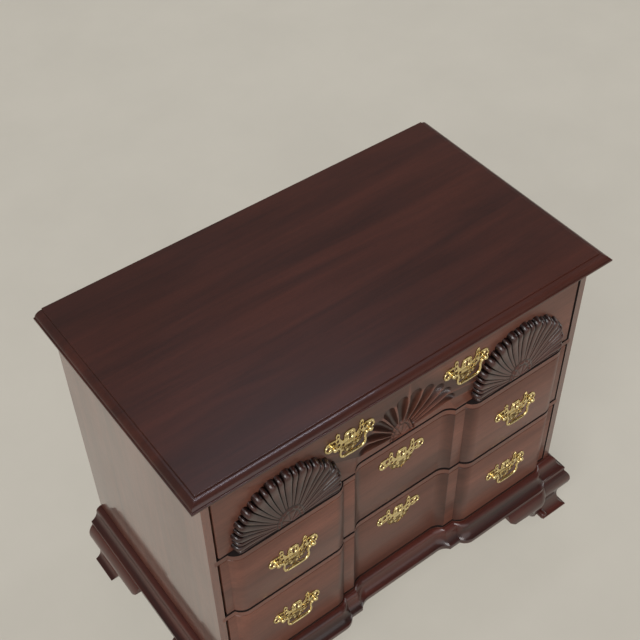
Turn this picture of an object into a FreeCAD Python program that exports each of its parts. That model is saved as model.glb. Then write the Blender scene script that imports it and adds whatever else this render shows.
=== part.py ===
"""Block front chest of drawers: a mahogany case of three drawers whose front steps out in two
blocks and in at the middle, with carved shells on the top drawer, ogee bracket feet and brass
pulls.  Millimetres, +Z up, front towards -Y, origin on the floor under the middle of the chest."""
import FreeCAD, Part
import Sketcher
import math
import os

V = FreeCAD.Vector
X_WAY = V(1, 0, 0)
Y_WAY = V(0, 1, 0)
Z_WAY = V(0, 0, 1)

# ---------------------------------------------------------------------------------------------
# Driving sizes
# ---------------------------------------------------------------------------------------------
SIZES = {
    # the top board and its moulded edge
    "top_width": 914.4,
    "top_depth": 520.7,
    "top_thickness": 21.4,
    "overhang": 28,
    "thumb_width": 18.65,
    "thumb_step": 2.4,
    "thumb_radius": 16,
    "lip_set_in": 3,
    "lip_height": 8.8,
    "lip_rise": 1.4,
    "cove_radius": 5,
    # the case, from the bottom up: its floor is so high above the feet
    "foot_height": 130,
    "floor_height": 48,
    "opening_low": 194,
    "opening_middle": 176,
    "opening_high": 188,
    "divider_thickness": 12,
    "divider_depth": 60,
    "top_rail_thickness": 16,
    "side_thickness": 15,
    "dado_depth": 5,
    "back_thickness": 8,
    "rabbet_depth": 7,
    "runner_width": 25,
    "kicker_width": 40,
    "stop_length": 30,
    "stop_thickness": 8,
    "stop_height": 6,
    "stop_set_in": 54,
    # the plan line of the front: a block each side of a recess
    "recess_half": 119,
    "recess_depth": 13,
    "strip_width": 27,
    "block_set_in": 36.2,
    "block_projection": 14,
    "corner_radius": 30,
    # the moulding round the base, with its heights above the feet
    "base_top": 47,
    "base_step": 30,
    "base_arris": 19,
    "base_bead": 2.5,
    "base_quarter": 13,
    "base_quarter_drop": 10,
    "base_quarter_radius": 14,
    "base_cove_radius": 20,
    # the ogee bracket feet
    "foot_bulge_radius": 42,
    "foot_shoulder": 29.5,
    "foot_middle_out": 35.5,
    "foot_middle_height": 78,
    "foot_waist": 28,
    "foot_waist_height": 29.5,
    "foot_waist_radius": 62,
    "foot_toe": 43.6,
    "toe_height": 17,
    "toe_edge": 3,
    "bracket_lap": 4,
    "bracket_length": 155,
    "toe_inner": 26,
    "leg_inner": 39,
    "leg_height": 28,
    "arch_reach": 84,
    "arch_height": 94,
    "arch_radius": 60,
    "wing_reach": 139,
    "wing_height": 98,
    "wing_end_height": 114,
    "rear_board": 18,
    "rear_board_length": 120,
    "glue_block": 22,
    "glue_block_lift": 6,
    # the drawers
    "front_thickness": 27,
    "drawer_gap": 1.3,
    "drawer_play": 1.2,
    "drawer_side": 12,
    "drawer_back": 12,
    "drawer_back_set_in": 12,
    "drawer_end_gap": 8,
    "drawer_top_drop": 10,
    "drawer_dado": 4,
    "tail_length": 15,
    "tail_margin": 9,
    "bottom_height": 10,
    "bottom_thickness": 6,
    "bottom_groove": 5,
    "bottom_front_groove": 6,
    # the carved shells
    "shell_margin": 7.5,
    "shell_height": 6,
    "shell_lift": 7,
    "raised_rim_lift": 20,
    "hollow_margin": 6,
    "hollow_rim_lift": 12,
    "ray_root": 22,
    "rosette_radius": 31,
    "rosette_shoulder": 24,
    "rosette_edge": 12,
    "rosette_rise": 17,
    "hollow_rosette_radius": 28,
    "hollow_rosette_edge": 4,
    "hollow_rosette_rise": 10,
    # the brasses
    "pull_high": 124,
    "pull_middle": 101,
    "pull_low": 112,
    "keyhole_middle": 139,
    "keyhole_low": 159,
    "plate_thickness": 1.6,
    "dome_half": 12.5,
    "dome_top": 18,
    "dome_low": 5.5,
    "valley_out": 14,
    "valley_low": 3,
    "horn_out": 27,
    "horn_top": 27,
    "wing_root_out": 31,
    "wing_root_top": 10,
    "wing_tip_out": 54,
    "wing_tip_low": 1,
    "wing_corner_out": 46,
    "wing_low": 15,
    "waist_out": 31,
    "waist_low": 14,
    "hip_out": 22,
    "hip_low": 28,
    "heel_out": 9,
    "heel_low": 37,
    "point_low": 43,
    "keyhole_radius": 2.6,
    "keyhole_rise": 3,
    "piercing_half": 2.4,
    "piercing_out": 22,
    "piercing_low": 8,
    "post_half_span": 38.1,
    "post_radius": 2,
    "post_hole": 2.2,
    "post_collar": 5.4,
    "post_neck": 3.2,
    "post_head": 4.8,
    "post_head_length": 9,
    "post_head_bevel": 2,
    "pivot_out": 9.5,
    "post_tail": 6,
    "bail_radius": 2.7,
    "bail_pin": 1.6,
    "bail_bore": 1.9,
    "bail_half": 27,
    "bail_drop": 32,
    "bail_bend": 3.6,
    "bail_shoulder": 1.6,
    "bail_corner": 8,
    "bail_pin_gap": 0.5,
    "nut_radius": 4.6,
    "nut_thickness": 4,
}

doc = FreeCAD.newDocument("block_front_chest")
sheet = doc.addObject("Spreadsheet::Sheet", "Sizes")
for row, (alias, size) in enumerate(SIZES.items(), 1):
    sheet.set("A%d" % row, alias)
    sheet.set("B%d" % row, str(size))
    sheet.setAlias("B%d" % row, alias)
doc.recompute()


def cell(alias):
    """The reference by which an expression reads one size."""
    return "Sizes." + alias


def value(expression):
    """The present value of an expression made of sizes."""
    return float(sheet.evalExpression(str(expression)))


# Planes and levels that many pieces share, each an expression of the sizes.
HALF = "(Sizes.top_width / 2 - Sizes.overhang)"
INNER = "(%s - Sizes.side_thickness)" % HALF
CASE_DEPTH = "(Sizes.top_depth - Sizes.overhang)"
# how far the ogee of a foot swells past the case: the outermost point of its upper arc
BULGE_LEAN = "(Sizes.foot_shoulder - Sizes.foot_middle_out)"
BULGE_RISE = "(Sizes.foot_height - Sizes.foot_middle_height)"
BULGE_CHORD = "sqrt(%s ^ 2 + %s ^ 2)" % (BULGE_LEAN, BULGE_RISE)
BULGE_BACK = "sqrt(Sizes.foot_bulge_radius ^ 2 - %s ^ 2 / 4)" % BULGE_CHORD
BULGE_MIDDLE = "((Sizes.foot_shoulder + Sizes.foot_middle_out) / 2)"
BULGE_SET_BACK = "(%s * %s / %s)" % (BULGE_BACK, BULGE_RISE, BULGE_CHORD)
BULGE = "(%s + Sizes.foot_bulge_radius - %s)" % (BULGE_MIDDLE, BULGE_SET_BACK)
BACK = "((%s + %s + Sizes.block_projection) / 2)" % (CASE_DEPTH, BULGE)
FRONT = "(%s - %s)" % (BACK, CASE_DEPTH)
BACK_FACE = "(%s - Sizes.back_thickness)" % BACK
RAIL_REAR = "(%s + Sizes.divider_depth)" % FRONT
FRONT_REAR = "(%s + Sizes.front_thickness)" % FRONT
DRAWER_END = "(%s - Sizes.drawer_end_gap)" % BACK_FACE
DRAWER_HALF = "(%s - Sizes.drawer_play)" % INNER
FLOOR_LOW = "(Sizes.foot_height + Sizes.floor_height)"
SHELF_LOW = "(%s + Sizes.opening_low)" % FLOOR_LOW
FLOOR_MIDDLE = "(%s + Sizes.divider_thickness)" % SHELF_LOW
SHELF_HIGH = "(%s + Sizes.opening_middle)" % FLOOR_MIDDLE
FLOOR_HIGH = "(%s + Sizes.divider_thickness)" % SHELF_HIGH
CEILING = "(%s + Sizes.opening_high)" % FLOOR_HIGH
CASE_TOP = "(%s + Sizes.top_rail_thickness)" % CEILING
SUMMIT = "(%s + Sizes.top_thickness)" % CASE_TOP
BLOCK_OUTER = "(%s - Sizes.block_set_in)" % HALF
BLOCK_INNER = "(Sizes.recess_half + Sizes.strip_width)"
BLOCK_RUN = "sqrt(2 * Sizes.corner_radius * Sizes.block_projection - Sizes.block_projection ^ 2)"
RECESS_RUN = "sqrt(2 * Sizes.corner_radius * Sizes.recess_depth - Sizes.recess_depth ^ 2)"
BLOCK_MIDDLE = "((%s + %s) / 2)" % (BLOCK_INNER, BLOCK_OUTER)
STRIP_MIDDLE = "((Sizes.recess_half + %s) / 2)" % BLOCK_INNER
SHELL_RADIUS = "((%s - %s) / 2 - Sizes.shell_margin)" % (BLOCK_OUTER, BLOCK_INNER)
HOLLOW_RADIUS = "(Sizes.recess_half - Sizes.hollow_margin)"
THROUGH = "(2 * Sizes.top_width)"

# straight stretches in each rounded corner of the moulding, the feet and the rail behind them
CORNER_PIECES = 2

nodes = []


# ---------------------------------------------------------------------------------------------
# Helpers for sketches, bodies and boxes
# ---------------------------------------------------------------------------------------------
def keep(piece, label):
    """Names a finished sub-part and puts it on the list of pieces to write."""
    piece.Label = label
    nodes.append(piece)
    return piece


def place(piece, x="0", y="0", z="0"):
    """Ties a piece's Placement to the sizes."""
    piece.setExpression("Placement.Base.x", x)
    piece.setExpression("Placement.Base.y", y)
    piece.setExpression("Placement.Base.z", z)
    return piece


def box(name, left, right, front, back, low, high):
    """A plain board between six planes."""
    board = doc.addObject("Part::Box", name)
    board.setExpression("Length", "%s - (%s)" % (right, left))
    board.setExpression("Width", "%s - (%s)" % (back, front))
    board.setExpression("Height", "%s - (%s)" % (high, low))
    return place(board, left, front, low)


def new_body(name):
    return doc.addObject("PartDesign::Body", name)


def sketch_on(body, role, name, offset="0"):
    """A sketch on one of the body's own planes, moved along that plane's normal."""
    sketch = body.newObject("Sketcher::SketchObject", name)
    plane = [item for item in body.Origin.OriginFeatures if item.Role == role][0]
    sketch.AttachmentSupport = [(plane, "")]
    sketch.MapMode = "FlatFace"
    sketch.setExpression("AttachmentOffset.Base.z", offset)
    return sketch


def bind(sketch, constraint, expression):
    """Adds a driving constraint and ties it to the sizes."""
    number = sketch.addConstraint(constraint)
    sketch.setExpression("Constraints[%d]" % number, expression)


def locate(sketch, edge, end, corner):
    """Fixes one end of an edge at a corner given as two expressions."""
    across, up = corner
    if across == "0":
        sketch.addConstraint(Sketcher.Constraint("PointOnObject", edge, end, -2))
    else:
        bind(sketch, Sketcher.Constraint("DistanceX", -1, 1, edge, end, value(across)), across)
    if up == "0":
        sketch.addConstraint(Sketcher.Constraint("PointOnObject", edge, end, -1))
    else:
        bind(sketch, Sketcher.Constraint("DistanceY", -1, 1, edge, end, value(up)), up)


def arc_between(start, stop, radius, side):
    """The short arc from start to stop that swells to the given side of its run."""
    chord = stop - start
    half = chord.Length / 2
    left = V(-chord.y, chord.x, 0).normalize()
    set_back = math.sqrt(max(radius * radius - half * half, 0))
    sign = -1 if side == "left" else 1
    centre = (start + stop) / 2 + left * (sign * set_back)
    first, last = (stop, start) if side == "left" else (start, stop)
    turn_first = math.atan2(first.y - centre.y, first.x - centre.x)
    turn_last = math.atan2(last.y - centre.y, last.x - centre.x)
    if turn_last < turn_first:
        turn_last += 2 * math.pi
    return Part.ArcOfCircle(Part.Circle(centre, Z_WAY, radius), turn_first, turn_last)


def draw(sketch, corners, bends=None, closed=True):
    """Draws a run of lines through corners; a bend (radius, side) makes the stretch that leaves
    its corner an arc."""
    bends = bends or {}
    spots = [V(value(across), value(up), 0) for across, up in corners]
    stretches = len(spots) if closed else len(spots) - 1
    ends = []
    for index in range(stretches):
        start = spots[index]
        stop = spots[(index + 1) % len(spots)]
        if index in bends:
            radius, side = bends[index]
            edge = sketch.addGeometry(arc_between(start, stop, value(radius), side))
            bind(sketch, Sketcher.Constraint("Radius", edge, value(radius)), radius)
            ends.append((edge, 2, 1) if side == "left" else (edge, 1, 2))
        else:
            edge = sketch.addGeometry(Part.LineSegment(start, stop))
            ends.append((edge, 1, 2))
    for index, (edge, first, last) in enumerate(ends):
        locate(sketch, edge, first, corners[index])
        if index > 0:
            before, _, end_before = ends[index - 1]
            sketch.addConstraint(Sketcher.Constraint("Coincident", before, end_before, edge, first))
    if closed:
        sketch.addConstraint(
            Sketcher.Constraint("Coincident", ends[-1][0], ends[-1][2], ends[0][0], ends[0][1]))
    else:
        locate(sketch, ends[-1][0], ends[-1][2], corners[-1])
    return sketch


def ring(sketch, across, up, radius):
    """Draws one circle."""
    circle = Part.Circle(V(value(across), value(up), 0), Z_WAY, value(radius))
    edge = sketch.addGeometry(circle)
    bind(sketch, Sketcher.Constraint("Radius", edge, value(radius)), radius)
    locate(sketch, edge, 3, (across, up))


def octagon(sketch, across, up, radius):
    """Draws an eight-sided outline with its flats at the radius, for small holes and bars."""
    corners = []
    for index in range(8):
        turn = 22.5 + 45 * index
        reach = "(%s) / cos(22.5)" % radius
        corners.append(("%s + %s * cos(%s)" % (across, reach, turn),
                        "%s + %s * sin(%s)" % (up, reach, turn)))
    draw(sketch, corners)


def pad(body, sketch, length, symmetric=False):
    feature = body.newObject("PartDesign::Pad", "Pad")
    feature.Profile = sketch
    feature.setExpression("Length", length)
    if symmetric:
        feature.SideType = "Symmetric"
    return feature


def pocket(body, sketch, length):
    """Cuts a sketch into the body, half the length to each side of the sketch's plane."""
    feature = body.newObject("PartDesign::Pocket", "Pocket")
    feature.Profile = sketch
    feature.setExpression("Length", length)
    feature.SideType = "Symmetric"
    return feature


def rectangle(sketch, left, right, low, high):
    return draw(sketch, [(left, low), (right, low), (right, high), (left, high)])


def mirrored(piece, name):
    """The same piece on the other side of the chest's middle plane."""
    twin = doc.addObject("Part::Mirroring", name)
    twin.Source = piece
    twin.Base = V(0, 0, 0)
    twin.Normal = X_WAY
    return twin


def pair(piece, label):
    """Keeps a right-hand piece and its left-hand twin."""
    keep(piece, label % "right")
    keep(mirrored(piece, (label % "left") + "_twin"), label % "left")


# ---------------------------------------------------------------------------------------------
# The blocked plan line
# ---------------------------------------------------------------------------------------------
def ahead(step):
    """A plane parallel to the flat parts of the front, a step nearer the viewer."""
    return "(%s - %s)" % (FRONT, step)


def rounded(flat, way, level, depth, run, pieces):
    """Spots on a rounded corner from its flat end, on the plane y = level, to the front line.
    The corner runs to one way (1 or -1) across and comes back by the depth."""
    turn = "asin(%s / Sizes.corner_radius)" % run
    spots = [(flat, level)]
    for index in range(1, pieces):
        part = "(%s * %d / %d)" % (turn, index, pieces)
        across = "%s + %d * Sizes.corner_radius * sin(%s)" % (flat, way, part)
        back = "%s + %s * Sizes.corner_radius * (1 - cos(%s))" % (level, depth, part)
        spots.append((across, back))
    spots.append(("%s + %d * %s" % (flat, way, run), FRONT))
    return spots


def blocked_line(pieces=1):
    """Corners and bends of the front line, from the left block to the right block.  With more
    pieces than one, each rounded corner is that many straight stretches and there are no bends."""
    face = ahead(cell("block_projection"))
    floor = "(%s + Sizes.recess_depth)" % FRONT
    hollow = rounded("(Sizes.recess_half - %s)" % RECESS_RUN, 1, floor, "-1", RECESS_RUN, pieces)
    rise = rounded("(%s + %s)" % (BLOCK_INNER, BLOCK_RUN), -1, face, "1", BLOCK_RUN, pieces)
    fall = rounded("(%s - %s)" % (BLOCK_OUTER, BLOCK_RUN), 1, face, "1", BLOCK_RUN, pieces)
    right = hollow + rise[::-1] + fall
    left = [("-(%s)" % across, back) for across, back in reversed(right)]
    if pieces > 1:
        return left + right, {}
    corner_radius = cell("corner_radius")
    bends = {}
    for index in (0, 2, 8, 10):
        bends[index] = (corner_radius, "right")
    for index in (4, 6):
        bends[index] = (corner_radius, "left")
    return left + right, bends


def shifted(bends, places):
    return {index + places: bend for index, bend in bends.items()}


def blocked_board(name, half, rear, height, low="0", pieces=1):
    """A board whose front edge follows the blocked line."""
    corners, bends = blocked_line(pieces)
    outline = [("-" + half, FRONT)] + corners + [(half, FRONT), (half, rear), ("-" + half, rear)]
    body = new_body(name)
    sketch = sketch_on(body, "XY_Plane", name + "_plan", low)
    draw(sketch, outline, shifted(bends, 1))
    pad(body, sketch, height)
    return body


# ---------------------------------------------------------------------------------------------
# The top
# ---------------------------------------------------------------------------------------------
def edge_corners(edge, inward):
    """The moulded edge from its underside to the top arris; inward is the way to the middle."""
    def spot(set_in, height):
        return ("%s %s (%s)" % (edge, inward, set_in), height)
    return [
        spot(cell("cove_radius"), CASE_TOP),
        spot("0", "%s + Sizes.cove_radius" % CASE_TOP),
        spot("0", "%s + Sizes.lip_height" % CASE_TOP),
        spot(cell("lip_set_in"), "%s + Sizes.lip_height" % CASE_TOP),
        spot(cell("lip_set_in"), "%s + Sizes.lip_height + Sizes.lip_rise" % CASE_TOP),
        spot(cell("thumb_width"), "%s - Sizes.thumb_step" % SUMMIT),
        spot(cell("thumb_width"), SUMMIT),
    ]


def make_top():
    """The board is moulded along the front, then both ends are cut to the same section."""
    body = new_body("top_board")
    section = sketch_on(body, "YZ_Plane", "top_section")
    edge = edge_corners(ahead(cell("overhang")), "+")
    outline = edge + [(BACK, SUMMIT), (BACK, CASE_TOP)]
    cove = (cell("cove_radius") + " * 1.2", "right")
    thumb = (cell("thumb_radius"), "left")
    draw(section, outline, {0: cove, 4: thumb})
    pad(body, section, cell("top_width"), True)
    ends = sketch_on(body, "XZ_Plane", "top_ends")
    spare = cell("overhang")
    above = "%s + %s" % (SUMMIT, spare)
    below = "%s - %s" % (CASE_TOP, spare)
    right = edge_corners("Sizes.top_width / 2", "-")
    left = edge_corners("-Sizes.top_width / 2", "+")
    for side, sign, swap in ((right, "", False), (left, "-", True)):
        beyond = "%s(Sizes.top_width / 2 + %s)" % (sign, spare)
        outline = side + [(side[-1][0], above), (beyond, above), (beyond, below), (side[0][0], below)]
        turns = ("right", "left") if swap else ("left", "right")
        draw(ends, outline, {0: (cove[0], turns[0]), 4: (thumb[0], turns[1])})
    pocket(body, ends, THROUGH)
    keep(body, "top")


# ---------------------------------------------------------------------------------------------
# The case
# ---------------------------------------------------------------------------------------------
def make_sides():
    """Each side is housed for the shelves that carry the drawers and rabbeted for the back."""
    body = new_body("side_board")
    board = sketch_on(body, "YZ_Plane", "side_outline", INNER)
    rectangle(board, FRONT, BACK, cell("foot_height"), CASE_TOP)
    pad(body, board, cell("side_thickness"))
    housings = sketch_on(body, "YZ_Plane", "side_housings", INNER)
    before = ahead("Sizes.dado_depth")
    rectangle(housings, before, BACK_FACE, SHELF_LOW, FLOOR_MIDDLE)
    rectangle(housings, before, BACK_FACE, SHELF_HIGH, FLOOR_HIGH)
    board_low = "%s - Sizes.divider_thickness" % FLOOR_LOW
    rectangle(housings, RAIL_REAR, BACK_FACE, board_low, FLOOR_LOW)
    pocket(body, housings, "2 * Sizes.dado_depth")
    rabbet = sketch_on(body, "YZ_Plane", "side_rabbet", INNER)
    under = "Sizes.foot_height - Sizes.dado_depth"
    over = "%s + Sizes.dado_depth" % CASE_TOP
    rectangle(rabbet, BACK_FACE, "%s + Sizes.dado_depth" % BACK, under, over)
    pocket(body, rabbet, "2 * Sizes.rabbet_depth")
    pair(body, "side_%s")


def make_shelves():
    """Front dividers, runners behind them, the bottom board and the rails under the top."""
    housed = "(%s + Sizes.dado_depth)" % INNER
    for name, level in (("divider_lower", SHELF_LOW), ("divider_upper", SHELF_HIGH)):
        divider = blocked_board(name + "_board", housed, RAIL_REAR, cell("divider_thickness"))
        keep(place(divider, z=level), name)
    inside = "(%s - Sizes.runner_width)" % INNER
    for name, low, high in (("lower", SHELF_LOW, FLOOR_MIDDLE), ("upper", SHELF_HIGH, FLOOR_HIGH)):
        runner = box("runner_" + name, inside, housed, RAIL_REAR, BACK_FACE, low, high)
        pair(runner, "runner_" + name + "_%s")
    board_low = "(%s - Sizes.divider_thickness)" % FLOOR_LOW
    keep(box("floor", "-" + housed, housed, RAIL_REAR, BACK_FACE, board_low, FLOOR_LOW), "bottom_board")
    rail_height = cell("floor_height")
    rail = blocked_board("rail_board", INNER, RAIL_REAR, rail_height, pieces=CORNER_PIECES)
    keep(place(rail, z=cell("foot_height")), "bottom_rail")
    wide = "-" + INNER
    keep(box("rail_f", wide, INNER, FRONT, RAIL_REAR, CEILING, CASE_TOP), "top_rail_front")
    rear = "(%s - Sizes.divider_depth)" % BACK_FACE
    keep(box("rail_r", wide, INNER, rear, BACK_FACE, CEILING, CASE_TOP), "top_rail_rear")
    slim = "Sizes.kicker_width / 2"
    upper = "%s + Sizes.divider_thickness" % CEILING
    keep(box("kicker", "-" + slim, slim, RAIL_REAR, rear, CEILING, upper), "top_kicker")
    panel_half = "(%s + Sizes.rabbet_depth)" % INNER
    panel = box("panel", "-" + panel_half, panel_half, BACK_FACE, BACK, cell("foot_height"), CASE_TOP)
    keep(panel, "back_panel")


def make_stops():
    """Two small blocks on each shelf that stop a drawer's front in line with the case."""
    stops = []
    for tier, level in (("low", FLOOR_LOW), ("middle", FLOOR_MIDDLE), ("high", FLOOR_HIGH)):
        far = "(%s - Sizes.stop_set_in)" % INNER
        near = "(%s - Sizes.stop_length)" % far
        rear = "%s + Sizes.stop_thickness" % FRONT_REAR
        top = "%s + Sizes.stop_height" % level
        right = box("stop_" + tier, near, far, FRONT_REAR, rear, level, top)
        stops += [right, mirrored(right, "stop_left_" + tier)]
    group = doc.addObject("Part::Compound", "stops")
    group.Links = stops
    keep(group, "drawer_stops")


# ---------------------------------------------------------------------------------------------
# The moulding and feet
# ---------------------------------------------------------------------------------------------
def moulding_section(outward):
    """Corners and bends of the base moulding; outward turns a step out into a coordinate."""
    low = cell("foot_height")
    top = low + " + Sizes.base_top"
    corners = [
        (outward("0"), low),
        (outward("Sizes.base_step"), low),
        (outward("Sizes.base_step"), low + " + Sizes.base_arris"),
        (outward("Sizes.base_quarter"), top + " - Sizes.base_quarter_drop"),
        (outward("Sizes.base_bead"), top),
        (outward("0"), top),
    ]
    return corners, {2: "cove", 3: "round"}


def foot_section(outward):
    """Corners and bends of the ogee foot, from the floor up."""
    corners = [
        (outward("-Sizes.bracket_lap"), "0"),
        (outward("Sizes.foot_toe"), "0"),
        (outward("Sizes.foot_toe"), cell("toe_edge")),
        (outward("Sizes.foot_waist + 2"), cell("toe_height")),
        (outward("Sizes.foot_waist"), cell("foot_waist_height")),
        (outward("Sizes.foot_middle_out"), cell("foot_middle_height")),
        (outward("Sizes.foot_shoulder"), cell("foot_height")),
        (outward("-Sizes.bracket_lap"), cell("foot_height")),
    ]
    return corners, {4: "waist", 5: "bulge"}


SECTION_RADII = {
    "cove": "base_cove_radius",
    "round": "base_quarter_radius",
    "waist": "foot_waist_radius",
    "bulge": "foot_bulge_radius",
}
HOLLOW_BENDS = ("cove", "waist")


def section_bends(kinds, outward_is_right):
    """Turns named bends into radii and sides for a section drawn upwards on its outer face."""
    bends = {}
    for index, kind in kinds.items():
        swells_out = kind not in HOLLOW_BENDS
        side = "right" if swells_out == outward_is_right else "left"
        bends[index] = (cell(SECTION_RADII[kind]), side)
    return bends


def front_out(step):
    return "%s - (%s)" % (FRONT, step)


def side_out(step):
    return "%s + (%s)" % (HALF, step)


def mitre(body, name, keep_front, side=1):
    """Cuts the 45 degree joint between a front piece and a side piece at a front corner."""
    reach = "(2 * Sizes.foot_toe)"
    sign = "" if side > 0 else "-"
    inner = ("%s(%s - %s)" % (sign, HALF, reach), "%s + %s" % (FRONT, reach))
    outer = ("%s(%s + %s)" % (sign, HALF, reach), "%s - %s" % (FRONT, reach))
    third = (outer[0], inner[1]) if keep_front else (inner[0], outer[1])
    sketch = sketch_on(body, "XY_Plane", name)
    draw(sketch, [inner, outer, third])
    pocket(body, sketch, THROUGH)


def swept_front(name, section, path_corners, start):
    """A section moved along the front line without turning."""
    body = new_body(name)
    corners, kinds = section(front_out)
    profile = sketch_on(body, "YZ_Plane", name + "_section", start)
    draw(profile, corners, section_bends(kinds, False))
    path = sketch_on(body, "XY_Plane", name + "_path")
    draw(path, path_corners, closed=False)
    pipe = body.newObject("PartDesign::AdditivePipe", "Sweep")
    pipe.Profile = profile
    pipe.Spine = (path, [])
    pipe.Mode = "Fixed"
    pipe.Transition = "Transformed"
    return body


def make_base_moulding():
    corners, _ = blocked_line(CORNER_PIECES)
    end = "(%s + Sizes.foot_toe)" % HALF
    run = [("-" + end, FRONT)] + corners + [(end, FRONT)]
    front = swept_front("base_front", moulding_section, run, "-" + end)
    mitre(front, "mitre_right", True)
    mitre(front, "mitre_left", True, -1)
    keep(front, "base_moulding_front")
    side = new_body("base_side")
    section, kinds = moulding_section(side_out)
    profile = sketch_on(side, "XZ_Plane", "base_side_section", "-" + BACK)
    draw(profile, section, section_bends(kinds, True))
    pad(side, profile, "%s + Sizes.foot_toe" % CASE_DEPTH)
    mitre(side, "mitre", False)
    pair(side, "base_moulding_%s")


def arch_cut(body, role, name, inward):
    """Cuts the shaped space under a bracket; inward turns a distance from the foot's corner
    into a coordinate."""
    start, turn = inward
    below = "-Sizes.toe_edge"
    beyond = "Sizes.bracket_length + Sizes.toe_edge"
    corners = [
        (start("Sizes.toe_inner"), below),
        (start("Sizes.toe_inner"), "0"),
        (start("Sizes.leg_inner"), cell("leg_height")),
        (start("Sizes.arch_reach"), cell("arch_height")),
        (start("Sizes.wing_reach"), cell("wing_height")),
        (start("Sizes.bracket_length"), cell("wing_end_height")),
        (start(beyond), cell("wing_end_height")),
        (start(beyond), below),
    ]
    sketch = sketch_on(body, role, name)
    draw(sketch, corners, {2: (cell("arch_radius"), turn)})
    pocket(body, sketch, THROUGH)


def make_front_feet():
    """Each front foot is a blocked front bracket mitred to a straight side bracket."""
    corners, _ = blocked_line(CORNER_PIECES)
    begin = "(%s - Sizes.bracket_length)" % HALF
    end = "(%s + 2 * Sizes.foot_toe)" % HALF
    face = ahead(cell("block_projection"))
    run = [(begin, face)] + corners[-1 - CORNER_PIECES:] + [(end, FRONT)]
    front = swept_front("bracket_front", foot_section, run, begin)
    # the section is drawn on the flat line, so the sweep starts from the face of the block
    place_on_block(front)
    mitre(front, "mitre", True)
    arch_cut(front, "XZ_Plane", "arch", (lambda step: "%s - (%s)" % (HALF, step), "left"))
    pair(front, "foot_bracket_front_%s")
    side = new_body("bracket_side")
    section, kinds = foot_section(side_out)
    length = "(Sizes.bracket_length + 2 * Sizes.foot_toe)"
    profile = sketch_on(side, "XZ_Plane", "bracket_side_section",
                        "-(%s + Sizes.bracket_length)" % FRONT)
    draw(profile, section, section_bends(kinds, True))
    pad(side, profile, length)
    mitre(side, "mitre", False)
    arch_cut(side, "YZ_Plane", "arch", (lambda step: "%s + (%s)" % (FRONT, step), "right"))
    pair(side, "foot_bracket_side_%s")


def place_on_block(body):
    """Moves a sweep's section out to the block's face, where its run begins."""
    profile = [item for item in body.Group if item.Name.endswith("_section")][0]
    profile.setExpression("AttachmentOffset.Base.x", "-Sizes.block_projection")


def make_rear_feet():
    """Each rear foot is an ogee side bracket that ends flush with the back, and a plain board."""
    side = new_body("bracket_rear_side")
    section, kinds = foot_section(side_out)
    profile = sketch_on(side, "XZ_Plane", "bracket_rear_section", "-" + BACK)
    draw(profile, section, section_bends(kinds, True))
    pad(side, profile, "Sizes.bracket_length + Sizes.foot_toe")
    arch_cut(side, "YZ_Plane", "arch",
             (lambda step: "%s - (Sizes.foot_toe + %s)" % (BACK, step), "left"))
    pair(side, "foot_bracket_rear_%s")
    board = new_body("rear_board")
    outline = sketch_on(board, "XZ_Plane", "rear_board_outline", "-" + BACK)
    outer = "(%s - Sizes.bracket_lap)" % HALF
    inner = "(%s - Sizes.rear_board_length)" % outer
    draw(outline, [
        (outer, "0"),
        (outer, cell("foot_height")),
        (inner, cell("foot_height")),
        (inner, cell("wing_end_height")),
        ("%s - Sizes.leg_inner" % outer, "0"),
    ])
    pad(board, outline, cell("rear_board"))
    pair(board, "foot_back_%s")


def make_glue_blocks():
    """A square block in the corner of each foot."""
    outer = "(%s - Sizes.bracket_lap)" % HALF
    inner = "(%s - Sizes.glue_block)" % outer
    front = "(%s + Sizes.bracket_lap)" % FRONT
    rear = "(%s - Sizes.rear_board)" % BACK
    spans = {
        "front": (front, "(%s + Sizes.glue_block)" % front),
        "rear": ("(%s - Sizes.glue_block)" % rear, rear),
    }
    blocks = []
    for where, (near, far) in spans.items():
        block = box("glue_" + where, inner, outer, near, far,
                    cell("glue_block_lift"), cell("foot_height"))
        blocks += [block, mirrored(block, "glue_left_" + where)]
    group = doc.addObject("Part::Compound", "glue_blocks")
    group.Links = blocks
    keep(group, "foot_blocks")


# ---------------------------------------------------------------------------------------------
# The drawers
# ---------------------------------------------------------------------------------------------
TAILS = 3
SIDE_FACE = "(%s - Sizes.drawer_side)" % DRAWER_HALF
PANEL_HALF = "(%s + Sizes.bottom_groove)" % SIDE_FACE
PANEL_TOP = "(Sizes.bottom_height + Sizes.bottom_thickness)"


def tail_levels(opening, index):
    """Lower and upper edge of one dovetail at its shoulder and at its end."""
    reach = "(%s - Sizes.drawer_top_drop - 2 * Sizes.tail_margin)" % opening
    middle = "(Sizes.tail_margin + %s * %s)" % (reach, (index + 0.5) / TAILS)
    shoulder = "%s * %s" % (reach, 0.26 / TAILS)
    end = "%s * %s" % (reach, 0.34 / TAILS)
    return middle, shoulder, end


def tail_corners(opening, index):
    """The four corners of a dovetail, from its upper shoulder round to its lower shoulder."""
    middle, shoulder, end = tail_levels(opening, index)
    tip = "(%s - Sizes.tail_length)" % FRONT_REAR
    return [
        (FRONT_REAR, "%s + %s" % (middle, shoulder)),
        (tip, "%s + %s" % (middle, end)),
        (tip, "%s - %s" % (middle, end)),
        (FRONT_REAR, "%s - %s" % (middle, shoulder)),
    ]


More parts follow.
